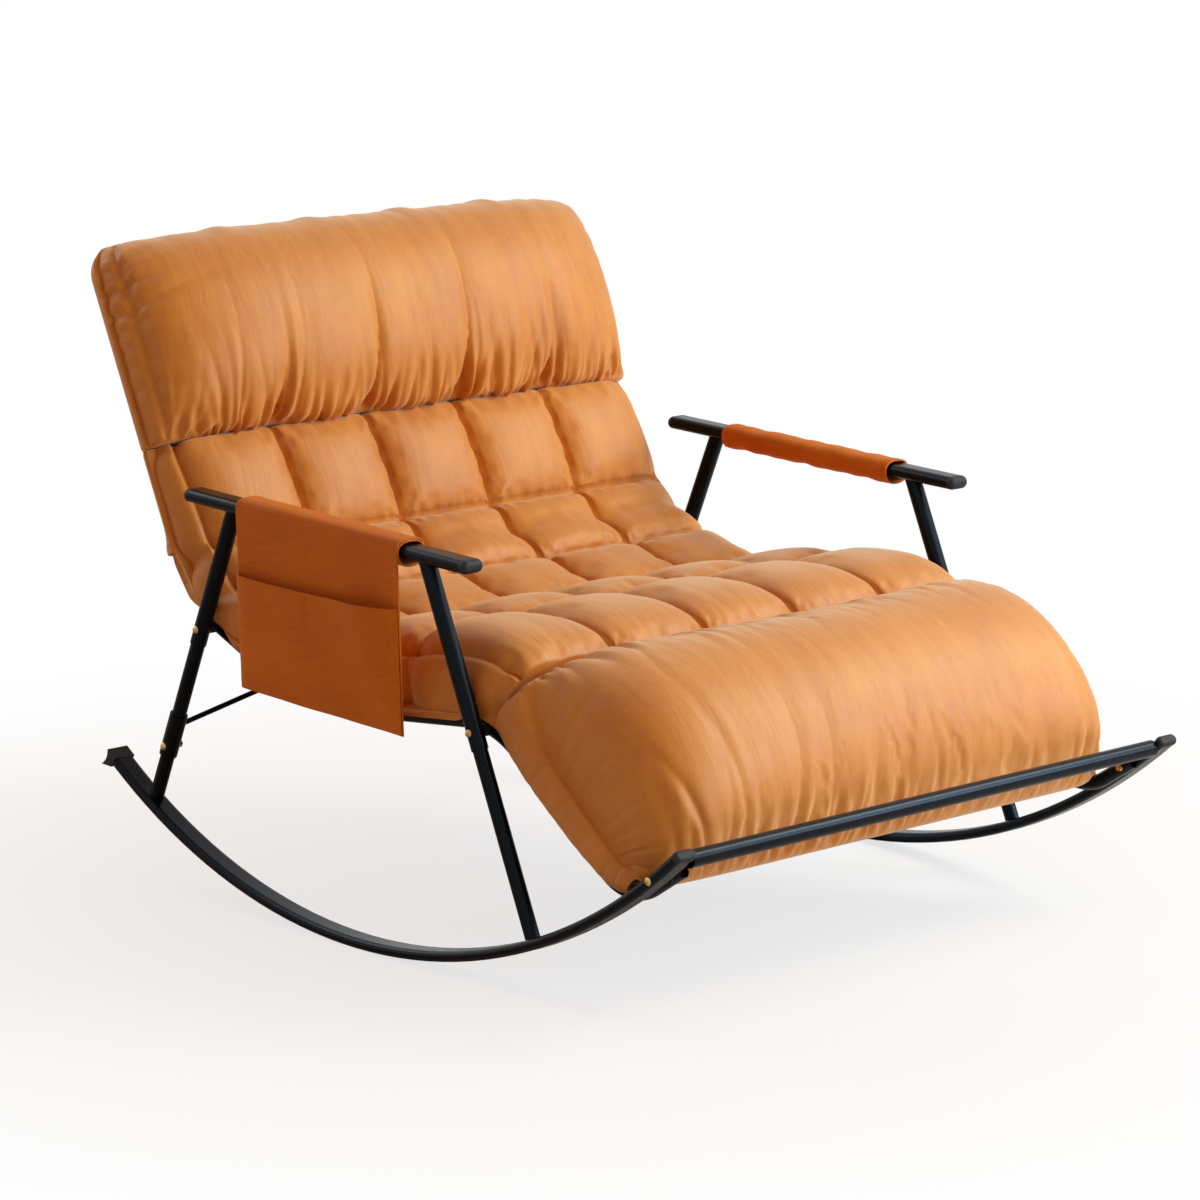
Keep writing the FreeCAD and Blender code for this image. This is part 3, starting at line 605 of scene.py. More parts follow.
def cushion_ring(top, lip, foot, bulge, lip_x, foot_x):
    """Rows of closed rings: the top, a boxed side that ends in a lip, the underside, and the other side."""
    side_stops = ((0.62, 0.82), (1.0, 0.46), (0.9, 0.12))
    tuck = 0.3
    half = top[0, -1, 0]
    lip_x, foot_x = (np.broadcast_to(value, len(top)) for value in (lip_x, foot_x))
    sides = []
    for edge, sign in ((-1, 1), (0, -1)):
        rim = top[:, edge, 1:]
        stops = [
            np.column_stack([sign * (half + bulge * out), lip + (rim - lip) * up]) for out, up in side_stops
        ]
        stops.append(np.column_stack([sign * lip_x, lip]))
        stops.append(np.column_stack([sign * foot_x, lip + (foot - lip) * tuck]))
        sides.append(np.stack(stops, axis=1))
    under_xs = foot_x[:, None] * np.linspace(1, -1, foot_columns)
    under = with_width(under_xs, np.broadcast_to(foot[:, None], (len(top), foot_columns, 2)))
    return np.concatenate([top, sides[0], under, sides[1][:, ::-1]], axis=1)


def blown_up(ring, loose, pressure, spare_cloth, most_move, frames=16):
    """The rings with the cover blown up like a filled cushion: loose points move, and none too far."""
    rows, columns = ring.shape[:2]
    cover = add_piece("cover", ring, grid_faces(rows, columns, True), cover_cloth)
    group = cover.vertex_groups.new(name="sewn")
    group.add(np.flatnonzero(~loose).tolist(), 1.0, "REPLACE")
    cloth = cover.modifiers.new("filling", "CLOTH")
    cloth.settings.vertex_group_mass = "sewn"
    cloth.settings.use_pressure = True
    cloth.settings.uniform_pressure_force = pressure
    cloth.settings.effector_weights.gravity = 0.0
    cloth.settings.shrink_min = -spare_cloth
    cloth.settings.tension_stiffness = 25.0
    cloth.settings.compression_stiffness = 25.0
    cloth.settings.bending_stiffness = 1.5
    cloth.settings.air_damping = 3.0
    cloth.collision_settings.use_collision = False
    cloth.point_cache.frame_end = frames
    for count in range(1, frames + 1):
        scene.frame_set(count)
    filled = cover.evaluated_get(bpy.context.evaluated_depsgraph_get()).to_mesh()
    ends = np.empty(ring.size)
    filled.vertices.foreach_get("co", ends)
    bpy.data.objects.remove(cover)
    scene.frame_set(1)
    move = ends.reshape(ring.shape) - ring
    size = np.maximum(np.linalg.norm(move, axis=2, keepdims=True), 1e-9)
    return ring + move * most_move * np.tanh(size / most_move) / size


def add_cushion(name, ring, fold_depth):
    """The finished cushion: its rings with the folds pressed in, closed at both ends."""
    rows, columns = ring.shape[:2]
    ring = ring - outward(ring, True) * fold_depth[:, :, None]
    faces = grid_faces(rows, columns, True)
    faces.append(list(range(columns))[::-1])
    faces.append(list(range((rows - 1) * columns, rows * columns)))
    return add_piece(name, ring, faces, cover_cloth)


def tuft_shares(count):
    """Shares along a row of tufts, closer together beside the stitched lines."""
    share = np.arange(count * pad_cells + 1) / pad_cells
    return share - cell_crowding * np.sin(2 * np.pi * share) / (2 * np.pi)


def hanging_lip(places):
    """The lip hangs over the outside of the rail, lower at the heel and lifted clear of the leg bolts."""
    lift = sum(bell(places - bolt, bolt_room, power=4) for bolt in bolt_places)
    drop = heel_drop * bell(places - heel_place, heel_room, power=4)
    return lip_height - drop + (pad_base - lip_height) * np.minimum(lift, 1)


column_pitch = 2 * pad_half / pad_columns
column_lines = np.arange(1, pad_columns) * column_pitch - pad_half


def head_peaks(xs, gap):
    """How far the head seam is pulled up at each column of stitching, fading with the gap to the seam."""
    peaks = sum(bell(xs - line, peak_width) for line in column_lines)
    return peak_rise * peaks * bell(gap, peak_fade)


pad_u = tuft_shares(pad_rows)
pad_v = tuft_shares(pad_columns)
pad_places = pad_start + seam_gap + (pad_end - pad_start - 2 * seam_gap) * pad_u / pad_rows
pad_xs = pad_half * (2 * pad_v / pad_columns - 1)
u_off = np.abs(2 * (pad_u % 1.0) - 1)[:, None]
v_off = np.abs(2 * (pad_v % 1.0) - 1)[None, :]
seam_line = np.interp(pad_u, np.arange(pad_rows + 1), pad_seam_heights)[:, None]
puff = (1 - u_off ** puff_square) * (1 - v_off ** puff_square)
puff = puff * np.where(np.abs(pad_xs) > pad_half * outer_columns, outer_puff, 1.0)[None, :]
edge_share = np.clip((np.abs(pad_xs) - (pad_half - pad_edge_run)) / pad_edge_run, 0, 1)[None, :]
edge_fall = np.interp(pad_u, np.arange(pad_rows + 1), pad_edge_falls)[:, None]
pad_height = seam_line + pad_crown * puff + row_swell * (1 - u_off ** 2)
pad_height = pad_height - edge_fall * round_fall(edge_share, pad_edge_steep)
pad_spread = pad_places[:, None] + head_peaks(pad_xs[None, :], (pad_end - pad_places)[:, None])
pad_top = with_width(pad_xs, on_line(pad_spread, pad_base + pad_height, pad_fan))

over_sock = np.clip((pad_places - sock_hem_place) / sock_lap + 1, 0, 1)
drawn_in = 1 - drawn_in_share * bell(1 - u_off[:, 0], drawn_in_run)
pad_ring = cushion_ring(
    pad_top, on_line(pad_places, hanging_lip(pad_places)), on_line(pad_places, pad_base),
    pad_bulge * drawn_in, lip_x + lip_over_sock * over_sock, foot_x + foot_over_sock * over_sock,
)
pad_loose = np.zeros(pad_ring.shape[:2], bool)
pad_loose[1:-1, :len(pad_xs) + 2] = True
pad_loose[1:-1, -2:] = True
pad_loose[::pad_cells] = False
pad_loose[:, pad_cells:len(pad_xs) - 1:pad_cells] = False
pad_ring = blown_up(pad_ring, pad_loose, pressure=3.0, spare_cloth=0.010, most_move=0.011)
pad_ring[:, :, 0] = np.clip(pad_ring[:, :, 0], -pad_reach, pad_reach)
pad_ring = finer_cover(pad_ring)

row_pitch = (pad_end - pad_start) / pad_rows
fine_u = finer(pad_u, cover_finer)
fine_v = np.zeros(pad_ring.shape[1])
fine_v[:(len(pad_xs) - 1) * cover_finer + 1] = finer(pad_v, cover_finer)
row_gap = np.abs(fine_u - np.round(fine_u))[:, None] * row_pitch
column_gap = np.abs(fine_v - np.round(fine_v))[None, :] * column_pitch
rows_to_end = np.minimum(fine_u, pad_rows - fine_u)[:, None]
row_grooves = np.where(rows_to_end < 0.5, pad_end_groove, pad_groove)
pad_grooves = row_grooves * np.exp(-row_gap / pad_groove_width)
pad_grooves = pad_grooves + pad_groove * np.exp(-column_gap / pad_groove_width)
pad_grooves = pad_grooves + dimple_depth * np.exp(-(row_gap ** 2 + column_gap ** 2) / dimple_width ** 2)
row_folds = gathers(
    11, pad_ring[:, :, 0], row_gap, -pad_half, pad_half,
    pitch=0.021, reach=0.030, depth=0.0024, width=0.0036,
)
column_folds = gathers(
    13, (fine_u * row_pitch)[:, None], column_gap, 0, pad_end - pad_start,
    pitch=0.034, reach=0.020, depth=0.0010, width=0.0040,
)
pad_folds = row_folds * np.exp(-fold_clear / np.maximum(row_gap, fold_least_gap))
pad_folds = pad_folds + column_folds * np.exp(-fold_clear / np.maximum(column_gap, fold_least_gap))
pad_folds = pad_folds * np.minimum(1, rows_to_end * row_pitch / fold_clear)
tufted_cushion = add_cushion(
    "tufted_cushion", pad_ring, (pad_grooves + pad_folds) * top_only(pad_ring, len(pad_xs)),
)
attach(tufted_cushion, "chair")
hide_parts("tufted_pad")


# Head pillow: a fat fibre-filled roll over the top of the back. Its front panel is gathered
# into the seam below it, and its sides are boxed with a plain strip.
pillow_half = 0.473
pillow_middle = [
    (0.0008, 0.026), (0.0012, 0.050), (0.006, 0.067), (0.018, 0.088), (0.042, 0.111),
    (0.078, 0.129), (0.120, 0.139), (0.165, 0.142), (0.212, 0.138), (0.256, 0.125),
    (0.292, 0.103), (0.315, 0.073), (0.3250, 0.038), (0.3235, -0.004),
]
pillow_edge = [
    (0.0008, 0.024), (0.0010, 0.040), (0.004, 0.046), (0.014, 0.050), (0.040, 0.053),
    (0.078, 0.055), (0.120, 0.055), (0.165, 0.055), (0.212, 0.054), (0.256, 0.052),
    (0.290, 0.046), (0.311, 0.034), (0.3215, 0.017), (0.3225, -0.004),
]
path_finer = 24
pillow_rows = 56
pillow_columns = 141
# How round its ends and corners are, where its lip and foot lie, and how far the cloth gives.
pillow_square = 5.0
pillow_round = 0.050
pillow_steep = 0.96
low_round = 0.008
low_steep = 0.75
pillow_reach = 0.3245
back_top = 0.3195
pillow_lip = 0.006
pillow_lip_x = 0.4862
pillow_foot_x = 0.4842
pillow_bulge = 0.0125
pillow_give = 0.022
# The belly that sags over the head seam, between the peaks of the seam.
belly_height = 0.078
belly_width = 0.024
belly_end = 0.1
belly_sag = 0.013
peak_height = 0.06
# The gathers at the seam and the hem, the long creases over the pad's columns, and the rims' seams.
pillow_length = 0.49
head_seam_run = 0.024
top_hem_run = 0.03
hem_fade = 0.010
rim_fade = 0.02
crease_runs = (0.12, 0.19, 0.20, 0.16)
crease_lean = 0.08
crease_depth = 0.015
crease_width = 0.0050
crease_sharp = 1.2
side_crease = 0.03
far_rim_folds = 0.3
pillow_rim_groove = 0.0040
pillow_rim_width = 0.0032


def smooth_path(stops, count):
    """Points at even lengths along a smooth curve through the stops."""
    fine = finer(np.array(stops), path_finer)
    lengths = np.concatenate([[0], np.cumsum(np.linalg.norm(np.diff(fine, axis=0), axis=1))])
    even = np.linspace(0, lengths[-1], count)
    return np.stack([np.interp(even, lengths, fine[:, axis]) for axis in range(fine.shape[1])], axis=1)


def rim_distance(ring, xs):
    """How far each column of a finer ring lies from the nearer rim of its top."""
    columns = ring.shape[1]
    column = np.arange(columns) / cover_finer
    near_first = np.minimum(column, columns / cover_finer - column)
    return np.minimum(near_first, np.abs(column - (len(xs) - 1)))[None, :] * (xs[1] - xs[0])


def filled_roll(ring, top_columns, give):
    """A roll's rings blown up between its sewn ends and rims, with more points."""
    loose = np.zeros(ring.shape[:2], bool)
    loose[4:-3, 1:top_columns - 1] = True
    return finer_cover(blown_up(ring, loose, pressure=4.0, spare_cloth=0.004, most_move=give))


def rounded_corner(x, rise):
    """The width drawn in towards both ends of the pillow, so that its corners are round."""
    over = np.clip((rise - (pillow_reach - pillow_round)) / pillow_round, 0, 1)
    under = np.clip((low_round - rise) / low_round, 0, 1) * (rise >= 0)
    inset = pillow_round * round_fall(over, pillow_steep) + low_round * round_fall(under, low_steep)
    return x * (1 - inset / pillow_half)


pillow_xs = np.linspace(-pillow_half, pillow_half, pillow_columns)
pillow_share = np.sqrt(1 - np.abs(pillow_xs / pillow_half) ** pillow_square)[None, :, None]
edge_path = smooth_path(pillow_edge, pillow_rows)
middle_path = smooth_path(pillow_middle, pillow_rows)
pillow_paths = middle_path[:, None] * pillow_share + edge_path[:, None] * (1 - pillow_share)
column_off = np.abs(2 * ((pillow_xs / pad_half + 1) / 2 * pad_columns % 1.0) - 1)
belly = bell(pillow_paths[:, :, 1] - belly_height, belly_width) * (pillow_paths[:, :, 0] < belly_end)
pillow_paths[:, :, 0] -= belly_sag * belly * (1 - column_off ** 2) * pillow_share[:, :, 0]
pillow_paths[:, :, 0] += head_peaks(pillow_xs[None, :], np.maximum(pillow_paths[:, :, 1] - peak_height, 0))
pillow_top = with_width(pillow_xs, on_line(pad_end + pillow_paths[:, :, 0], pillow_paths[:, :, 1]))
pillow_rise = np.clip(edge_path[:, 0], pillow_edge[0][0], back_top)
pillow_ring = cushion_ring(
    pillow_top, on_line(pad_end + pillow_rise, pillow_lip), on_line(pad_end + pillow_rise, pad_base),
    np.full(pillow_rows, pillow_bulge), pillow_lip_x, pillow_foot_x,
)
pillow_ring[:, :, 0] = rounded_corner(pillow_ring[:, :, 0], pillow_rise[:, None])
pillow_ring = filled_roll(pillow_ring, pillow_columns, pillow_give)

fine_x = pillow_ring[:, :, 0]
pillow_run = np.linspace(0, pillow_length, len(pillow_ring))[:, None]
from_head_seam = np.maximum(pillow_run - head_seam_run, 0)
from_top_hem = np.maximum(pillow_length - top_hem_run - pillow_run, 0)
pillow_folds = gathers(
    21, fine_x, from_head_seam, -pillow_half, pillow_half,
    pitch=0.0105, reach=0.085, depth=0.0084, width=0.0036,
)
for line, run in zip(column_lines, crease_runs):
    spread = crease_width * (1 + from_head_seam / run)
    drift = (fine_x - line - crease_lean * from_head_seam) / spread
    pillow_folds += crease_depth * np.exp(-np.abs(drift) ** crease_sharp) * bell(from_head_seam, run)
pillow_folds += pulled_folds(
    23, fine_x, from_head_seam, column_lines + side_crease,
    reach=0.150, depth=0.0150, width=0.0055, sharp=1.3,
)
pillow_folds += gathers(
    24, fine_x, from_top_hem, -pillow_half, pillow_half,
    pitch=0.044, reach=0.120, depth=0.0014, width=0.009,
)
rim_gap = rim_distance(pillow_ring, pillow_xs)
pillow_folds = pillow_folds * top_only(pillow_ring, pillow_columns) * fade_in(rim_gap, rim_fade)
rim_folds = gathers(
    26, pillow_run, rim_gap, low=0.05, high=0.40, pitch=0.030, reach=0.050, depth=0.0014, width=0.0060,
)
rim_folds += gathers(
    28, pillow_run, rim_gap, low=0.30, high=0.42, pitch=0.030, reach=0.090, depth=0.0030, width=0.0095,
)
rim_folds = rim_folds * np.where(fine_x > 0, far_rim_folds, 1.0)
rim_folds += pillow_rim_groove * bell(rim_gap, pillow_rim_width)
between_hems = fade_in(from_head_seam, hem_fade) * fade_in(from_top_hem, hem_fade)
head_cushion = add_cushion("head_cushion", pillow_ring, (pillow_folds + rim_folds) * between_hems)
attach(head_cushion, "chair")
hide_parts("head_pillow")


# Front bolster: the roll under the knees. Its cover is gathered into the stitched line at the
# pad and into the hem at the toe, and each end is closed by a sewn-in panel.
bolster_half = 0.468
bolster_middle = [
    (-0.3012, 0.4345), (-0.3092, 0.4535), (-0.320, 0.4675), (-0.354, 0.4800), (-0.408, 0.4790),
    (-0.464, 0.4620), (-0.517, 0.430), (-0.561, 0.387), (-0.592, 0.336), (-0.606, 0.288),
    (-0.604, 0.248), (-0.593, 0.216), (-0.575, 0.190), (-0.556, 0.1815),
]
bolster_rim = [
    (0.0, 0.064), (0.03, 0.081), (0.10, 0.070), (0.25, 0.055),
    (0.5, 0.048), (0.8, 0.042), (0.94, 0.034), (1.0, 0.019),
]
bolster_rows = 70
bolster_columns = 121
path_points = 200
bolster_toe_place = 0.098
# How square its ends are at the seam and at the toe, how far they bulge, and how far the lip sags.
bolster_seam_square = 6.0
bolster_toe_square = 14.0
far_end_square = 1.9
bolster_bulge = 0.020
bolster_give = 0.020
bolster_sag = 0.007
bolster_sag_place = 0.28
bolster_sag_run = 0.10
# The gathers at the seam and the toe, which lie shallower left of the middle, and the rims' seams.
bolster_length = 0.59
bolster_seam_run = 0.021
toe_hem_run = 0.02
toe_fade = 0.03
rim_seam_fade = 0.040
toe_gather_xs = (-0.468, -0.02, 0.14, 0.36, 0.43)
toe_gathers = (1.0, 1.0, 0.25, 0.25, 1.2)
bolster_rim_groove = 0.0050
bolster_rim_width = 0.0035

bolster_xs = np.linspace(-bolster_half, bolster_half, bolster_columns)
bolster_square = np.linspace(bolster_seam_square, bolster_toe_square, bolster_rows)[:, None]
bolster_square = bolster_square * np.where(bolster_xs > 0, far_end_square, 1.0)[None, :]
bolster_share = np.sqrt(1 - np.abs(bolster_xs / bolster_half)[None, :] ** bolster_square)[:, :, None]
bolster_places = np.linspace(pad_start - seam_gap, bolster_toe_place, bolster_rows)
rim_path = smooth_path(bolster_rim, path_points)
rim_height = np.interp(np.linspace(0, 1, bolster_rows), rim_path[:, 0], rim_path[:, 1])
middle_path = smooth_path(bolster_middle, bolster_rows)
rim_line = on_line(bolster_places, rim_height)
bolster_top = with_width(
    bolster_xs, middle_path[:, None] * bolster_share + rim_line[:, None] * (1 - bolster_share),
)
lip_sag = bolster_sag * bell(bolster_places - bolster_sag_place, bolster_sag_run, power=4)
bolster_lip = hanging_lip(bolster_places) - lip_sag
bolster_ring = cushion_ring(
    bolster_top, on_line(bolster_places, bolster_lip), on_line(bolster_places, pad_base),
    np.full(bolster_rows, bolster_bulge), lip_x, foot_x,
)[::-1]
bolster_ring = filled_roll(bolster_ring, bolster_columns, bolster_give)

fine_x = bolster_ring[:, :, 0]
bolster_run = np.linspace(bolster_length, 0, len(bolster_ring))[:, None]
from_seam = np.maximum(bolster_run - bolster_seam_run, 0)
from_toe = np.maximum(bolster_length - toe_hem_run - bolster_run, 0)
bolster_folds = gathers(
    31, fine_x, from_seam, -bolster_half, bolster_half,
    pitch=0.016, reach=0.085, depth=0.0052, width=0.0042,
)
bolster_folds += gathers(
    33, fine_x, from_toe, -bolster_half, bolster_half,
    pitch=0.030, reach=0.170, depth=0.0062, width=0.0058,
)
bolster_folds += gathers(
    35, fine_x, from_toe, -bolster_half, bolster_half,
    pitch=0.0125, reach=0.085, depth=0.0058, width=0.0036,
)
bolster_folds *= np.interp(fine_x, toe_gather_xs, toe_gathers) ** (from_seam / bolster_length)
bolster_folds *= fade_in(from_seam, hem_fade) * fade_in(from_toe, toe_fade)
rim_gap = rim_distance(bolster_ring, bolster_xs)
bolster_folds = bolster_folds * top_only(bolster_ring, bolster_columns) * fade_in(rim_gap, rim_fade)
rim_folds = gathers(
    37, bolster_run, rim_gap, low=0.06, high=0.54, pitch=0.048, reach=0.050, depth=0.0016, width=0.0080,
)
rim_folds += bolster_rim_groove * bell(rim_gap, bolster_rim_width)
rim_folds = rim_folds * fade_in(from_seam, rim_seam_fade) * fade_in(from_toe, rim_fade)
knee_bolster = add_cushion("knee_bolster", bolster_ring, bolster_folds + rim_folds)
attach(knee_bolster, "chair")
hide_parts("front_bolster")


# Rear cover: a sock of the same cloth pulled down over the back hoop. Its hem flares a little
# where it ends behind the bend of the seat, and the cloth is doubled there.
rear_section = [
    (-0.4812, 0.0136), (-0.4826, 0.004), (-0.4800, -0.0105), (-0.466, -0.0165), (-0.42, -0.019),
    (-0.2, -0.023), (0.0, -0.024), (0.2, -0.023), (0.42, -0.019), (0.466, -0.0165),
    (0.4800, -0.0105), (0.4826, 0.004), (0.4812, 0.0136),
]
rear_columns = 150
rear_rows = 90
bend_rows = 12
rear_bend = 0.022
rear_top_height = 0.002
# The hem's wave and flare, the folds that rise from it, and the thickness of the cloth.
hem_wave = 0.004
hem_wave_turns = 9
hem_wave_shift = 0.4
hem_flare = 0.0085
hem_flare_run = 0.022
hem_flare_depth = 0.01
rear_fold_half = 0.44
rear_fold_height = -0.012
cover_thick = 0.0016
cover_hem_thick = 0.0022
cover_hem = 0.014

rear_xs, rear_ns = smooth_path(rear_section, rear_columns).T
hem_places = sock_hem_place + hem_wave * np.sin(rear_xs * hem_wave_turns + hem_wave_shift)
straight = np.linspace(0, 1, rear_rows - bend_rows)[:, None]
bend = np.linspace(0, np.pi / 2, bend_rows + 1)[1:, None]
bend_start = pad_end + back_top - rear_bend
rear_places = np.concatenate([
    hem_places + (bend_start - hem_places) * straight,
    np.broadcast_to(bend_start + rear_bend * np.sin(bend), (bend_rows, rear_columns)),
])
rear_heights = np.concatenate([
    np.broadcast_to(rear_ns, (rear_rows - bend_rows, rear_columns)),
    rear_ns + (np.maximum(rear_ns, rear_top_height) - rear_ns) * (1 - np.cos(bend)),
])
hem_gap = rear_places - hem_places
flare = hem_flare * bell(hem_gap, hem_flare_run)
rear_heights = rear_heights - flare * fade_in(-rear_heights, hem_flare_depth)
rear_folds = gathers(
    41, rear_xs[None, :], hem_gap, -rear_fold_half, rear_fold_half,
    pitch=0.040, reach=0.14, depth=0.006, width=0.011,
)
rear_heights = rear_heights + rear_folds * (rear_heights < rear_fold_height)
rear_width = rounded_corner(rear_xs[None, :], rear_places - pad_end)
rear_grid = with_width(rear_width, on_line(rear_places, rear_heights))[:, ::-1]
rear_thick = (cover_thick + cover_hem_thick * bell(hem_gap, cover_hem, power=4))[:, ::-1]
rear_sock = thick_cloth("rear_sock", rear_grid, rear_thick, cover_cloth)
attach(rear_sock, "chair")
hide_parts("rear_cover")


# Arm sleeves: woven cloth, a shade deeper than the cushions, sewn into a tube round the middle of
# each arm. It sits a little loose under the arm, with a doubled hem at both ends.
arm_middle = np.array([0.5, 0.0655, 0.608])
arm_heading = np.array([0.0, 0.999263, 0.038388])
arm_up = np.array([0.0, -0.038388, 0.999263])
pocket_lean = 0.075
# The oval of the cloth, its slack and ripples, and its thickness.
sleeve_length = 0.362
sleeve_half_width = 0.0232
sleeve_half_height = 0.0140
sleeve_width_square = 0.75
sleeve_height_square = 0.85
sleeve_sag = 1.45
sleeve_slack = 0.0007
ripple_height = 0.00035
ripple_waves = ((90, 1), (140, -1), (55, 2))
ripple_fade = 0.02
whole_turn = 6.28
woven_thick = 0.0013
sleeve_hem_thick = 0.0010
sleeve_hem = 0.010
sleeve_columns = 72
sleeve_rows = 70
thread_lift = 0.0002


def woven_tan():
    finish = Finish(
        "woven_tan", Sheen_Weight=0.12, Sheen_Roughness=0.5, Sheen_Tint=(1.0, 0.6, 0.3, 1.0),
        Specular_IOR_Level=0.15,
    )
    where = finish.places()
    warp, weft = (threads(finish, where, way, 190.0, 0.8) for way in ("Y", "Z"))
    slub = finish.noise(finish.node("Mapping", Vector=where, Scale=(300.0, 22.0, 300.0)), 1.0, 2.0)
    cloud = finish.noise(where, 9.0, 3.0)
    tone = cloud * 0.6 + slub * 0.4
    finish.feed(
        Base_Color=finish.ramp(
            tone, (0.3, (0.52, 0.124, 0.008)), (0.5, (0.59, 0.150, 0.011)), (0.72, (0.66, 0.180, 0.016)),
        ),
        Roughness=0.6 + cloud * 0.18,
        Normal=finish.bump(warp * 0.5 + weft * 0.5 + slub * 0.6, 0.3, 0.0006),
    )
    return finish.material


sleeve_cloth = woven_tan()


def arm_point(side, run, out, up):
    """A point by its run along the arm, its distance out from the arm's middle and its height."""
    run, out, up = np.broadcast_arrays(run, out, up)
    points = np.empty(run.shape + (3,))
    points[..., 0] = side * (arm_middle[0] + out)
    for axis in (1, 2):
        points[..., axis] = arm_middle[axis] + run * arm_heading[axis] + up * arm_up[axis]
    points[..., 1] += pocket_lean * np.minimum(up, 0)
    return points


def squared(wave, power, half):
    """A wave of a half size, whose round is made squarer by a power under 1."""
    return np.abs(wave) ** power * np.sign(wave) * half


def just_above(grid, thickness, around=False):
    """The points a thread's height above the outer face of a sheet."""
    return grid + outward(grid, around) * (thickness / 2 + thread_lift)[:, :, None]


sleeve_turn = np.linspace(0, 2 * np.pi, sleeve_columns, endpoint=False)
oval_out = squared(np.cos(sleeve_turn), sleeve_width_square, sleeve_half_width)
oval_up = squared(np.sin(sleeve_turn), sleeve_height_square, sleeve_half_height)
oval_up = np.where(oval_up < 0, oval_up * sleeve_sag, oval_up)
sleeve_runs = np.linspace(-sleeve_length / 2, sleeve_length / 2, sleeve_rows)[:, None]
end_gap = sleeve_length / 2 - np.abs(sleeve_runs)
sleeve_thick = woven_thick + sleeve_hem_thick * bell(end_gap, sleeve_hem, power=4)
sleeve_thick = np.broadcast_to(sleeve_thick, (sleeve_rows, sleeve_columns))
sleeve_hems = []
# The left arm's rings are turned round, so that the cloth's outer face points outwards on both arms.
for side, side_name, seed in ((1, "left", 51), (-1, "right", 52)):
    shifts = np.random.default_rng(seed).uniform(0, whole_turn, len(ripple_waves))
    ripple = sum(
        np.sin(sleeve_runs * pitch + turn * sleeve_turn + shift) * ripple_height
        for (pitch, turn), shift in zip(ripple_waves, shifts)
    )
    loose = 1 + (sleeve_slack + ripple * fade_in(end_gap, ripple_fade)) / sleeve_half_height
    sleeve_grid = arm_point(side, sleeve_runs, oval_out * loose, oval_up * loose)
    if side > 0:
        sleeve_grid = sleeve_grid[:, ::-1]
    sleeve = thick_cloth(side_name + "_sleeve", sleeve_grid, sleeve_thick, sleeve_cloth, around=True)
    sleeve_face = just_above(sleeve_grid, sleeve_thick, around=True)
    sleeve_hems += [np.concatenate([sleeve_face[row], sleeve_face[row, :1]]) for row in (2, -3)]
    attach(sleeve, "chair")
    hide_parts(side_name + "_arm_sleeve")


# Pocket: one length of the woven cloth lies over the right arm and hangs down its outside, and a
# second one sewn to it makes the pouch, which is carried by the pocket's body.
pocket_width = 0.360
pocket_drop = 0.262
pocket_mouth = 0.098
hang_out = 0.0246
hinge_fall = 0.002
hinge_run = 0.02
drape_section = [
    (-0.0252, 0.0008), (-0.0250, 0.0075), (-0.0215, 0.0138), (-0.012, 0.0166), (0.0, 0.0170),
    (0.012, 0.0166), (0.0214, 0.0138), (0.0250, 0.0072), (0.0256, -0.004), (0.0250, -0.035),
    (hang_out, -0.12), (hang_out, -0.19), (hang_out, -hinge_fall - pocket_drop),
]
# The panel's mesh, its waves and its hems.
drape_columns = 110
drape_rows = 90
drape_pitch = 0.003
drape_waves = ((0.0011, 21, 0.6), (0.0006, 52, 0.0))
drape_hem_thick = 0.0011
drape_hem = 0.009
# The pouch: its depth from the mouth down, its gaping corner, crease and waves, and its mouth's hem.
pouch_depths = [
    (0.0, 0.0135), (0.25, 0.0150), (0.55, 0.0145), (0.8, 0.0105), (0.95, 0.0045), (1.0, 0.0022),
]
pouch_rows = 96
pouch_columns = 60
pouch_inset = 0.0006
pouch_lift = 0.0011
pouch_seam_depth = 0.0018
pouch_side_square = 18
pouch_foot = 0.002
gape_depth = 0.0075
gape_place = -0.62
gape_width = 0.24
pouch_crease_depth = 0.0016
pouch_crease_place = 0.06
pouch_crease_lean = 0.12
pouch_crease_width = 0.05
pouch_wave_depth = 0.0008
pouch_wave_turns = (7, 3)
mouth_lift = 0.014
mouth_droop = 0.004
mouth_tilt = 0.006
pouch_thin = 0.0012
mouth_hem_thick = 0.0009
mouth_hem = 0.012

drape_out, drape_up = smooth_path(drape_section, drape_columns).T
drape_runs = np.linspace(-pocket_width / 2, pocket_width / 2, drape_rows)[:, None]
drape_fall = np.clip(-drape_up / pocket_drop, 0, 1)[None, :]
drape_wave = sum(
    height * drape_fall * np.sin(drape_runs * turns + shift) for height, turns, shift in drape_waves
)
drape_grid = arm_point(-1, drape_runs, drape_out[None, :] + drape_wave, drape_up[None, :])
drape_steps = np.arange(drape_columns)
drape_ends = np.minimum(drape_steps, drape_columns - 1 - drape_steps) * drape_pitch
drape_rim = np.minimum(pocket_width / 2 - np.abs(drape_runs), drape_ends[None, :])
drape_thick = woven_thick + drape_hem_thick * bell(drape_rim, drape_hem, power=4)
pocket_drape = thick_cloth("pocket_drape", drape_grid, drape_thick, sleeve_cloth)
hinge_start = arm_point(-1, 0.0, hang_out, -hinge_fall)
hinge_end = arm_point(-1, 0.0, hang_out, -hinge_fall - hinge_run)
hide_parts("pocket_panel")
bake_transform(pocket_drape)

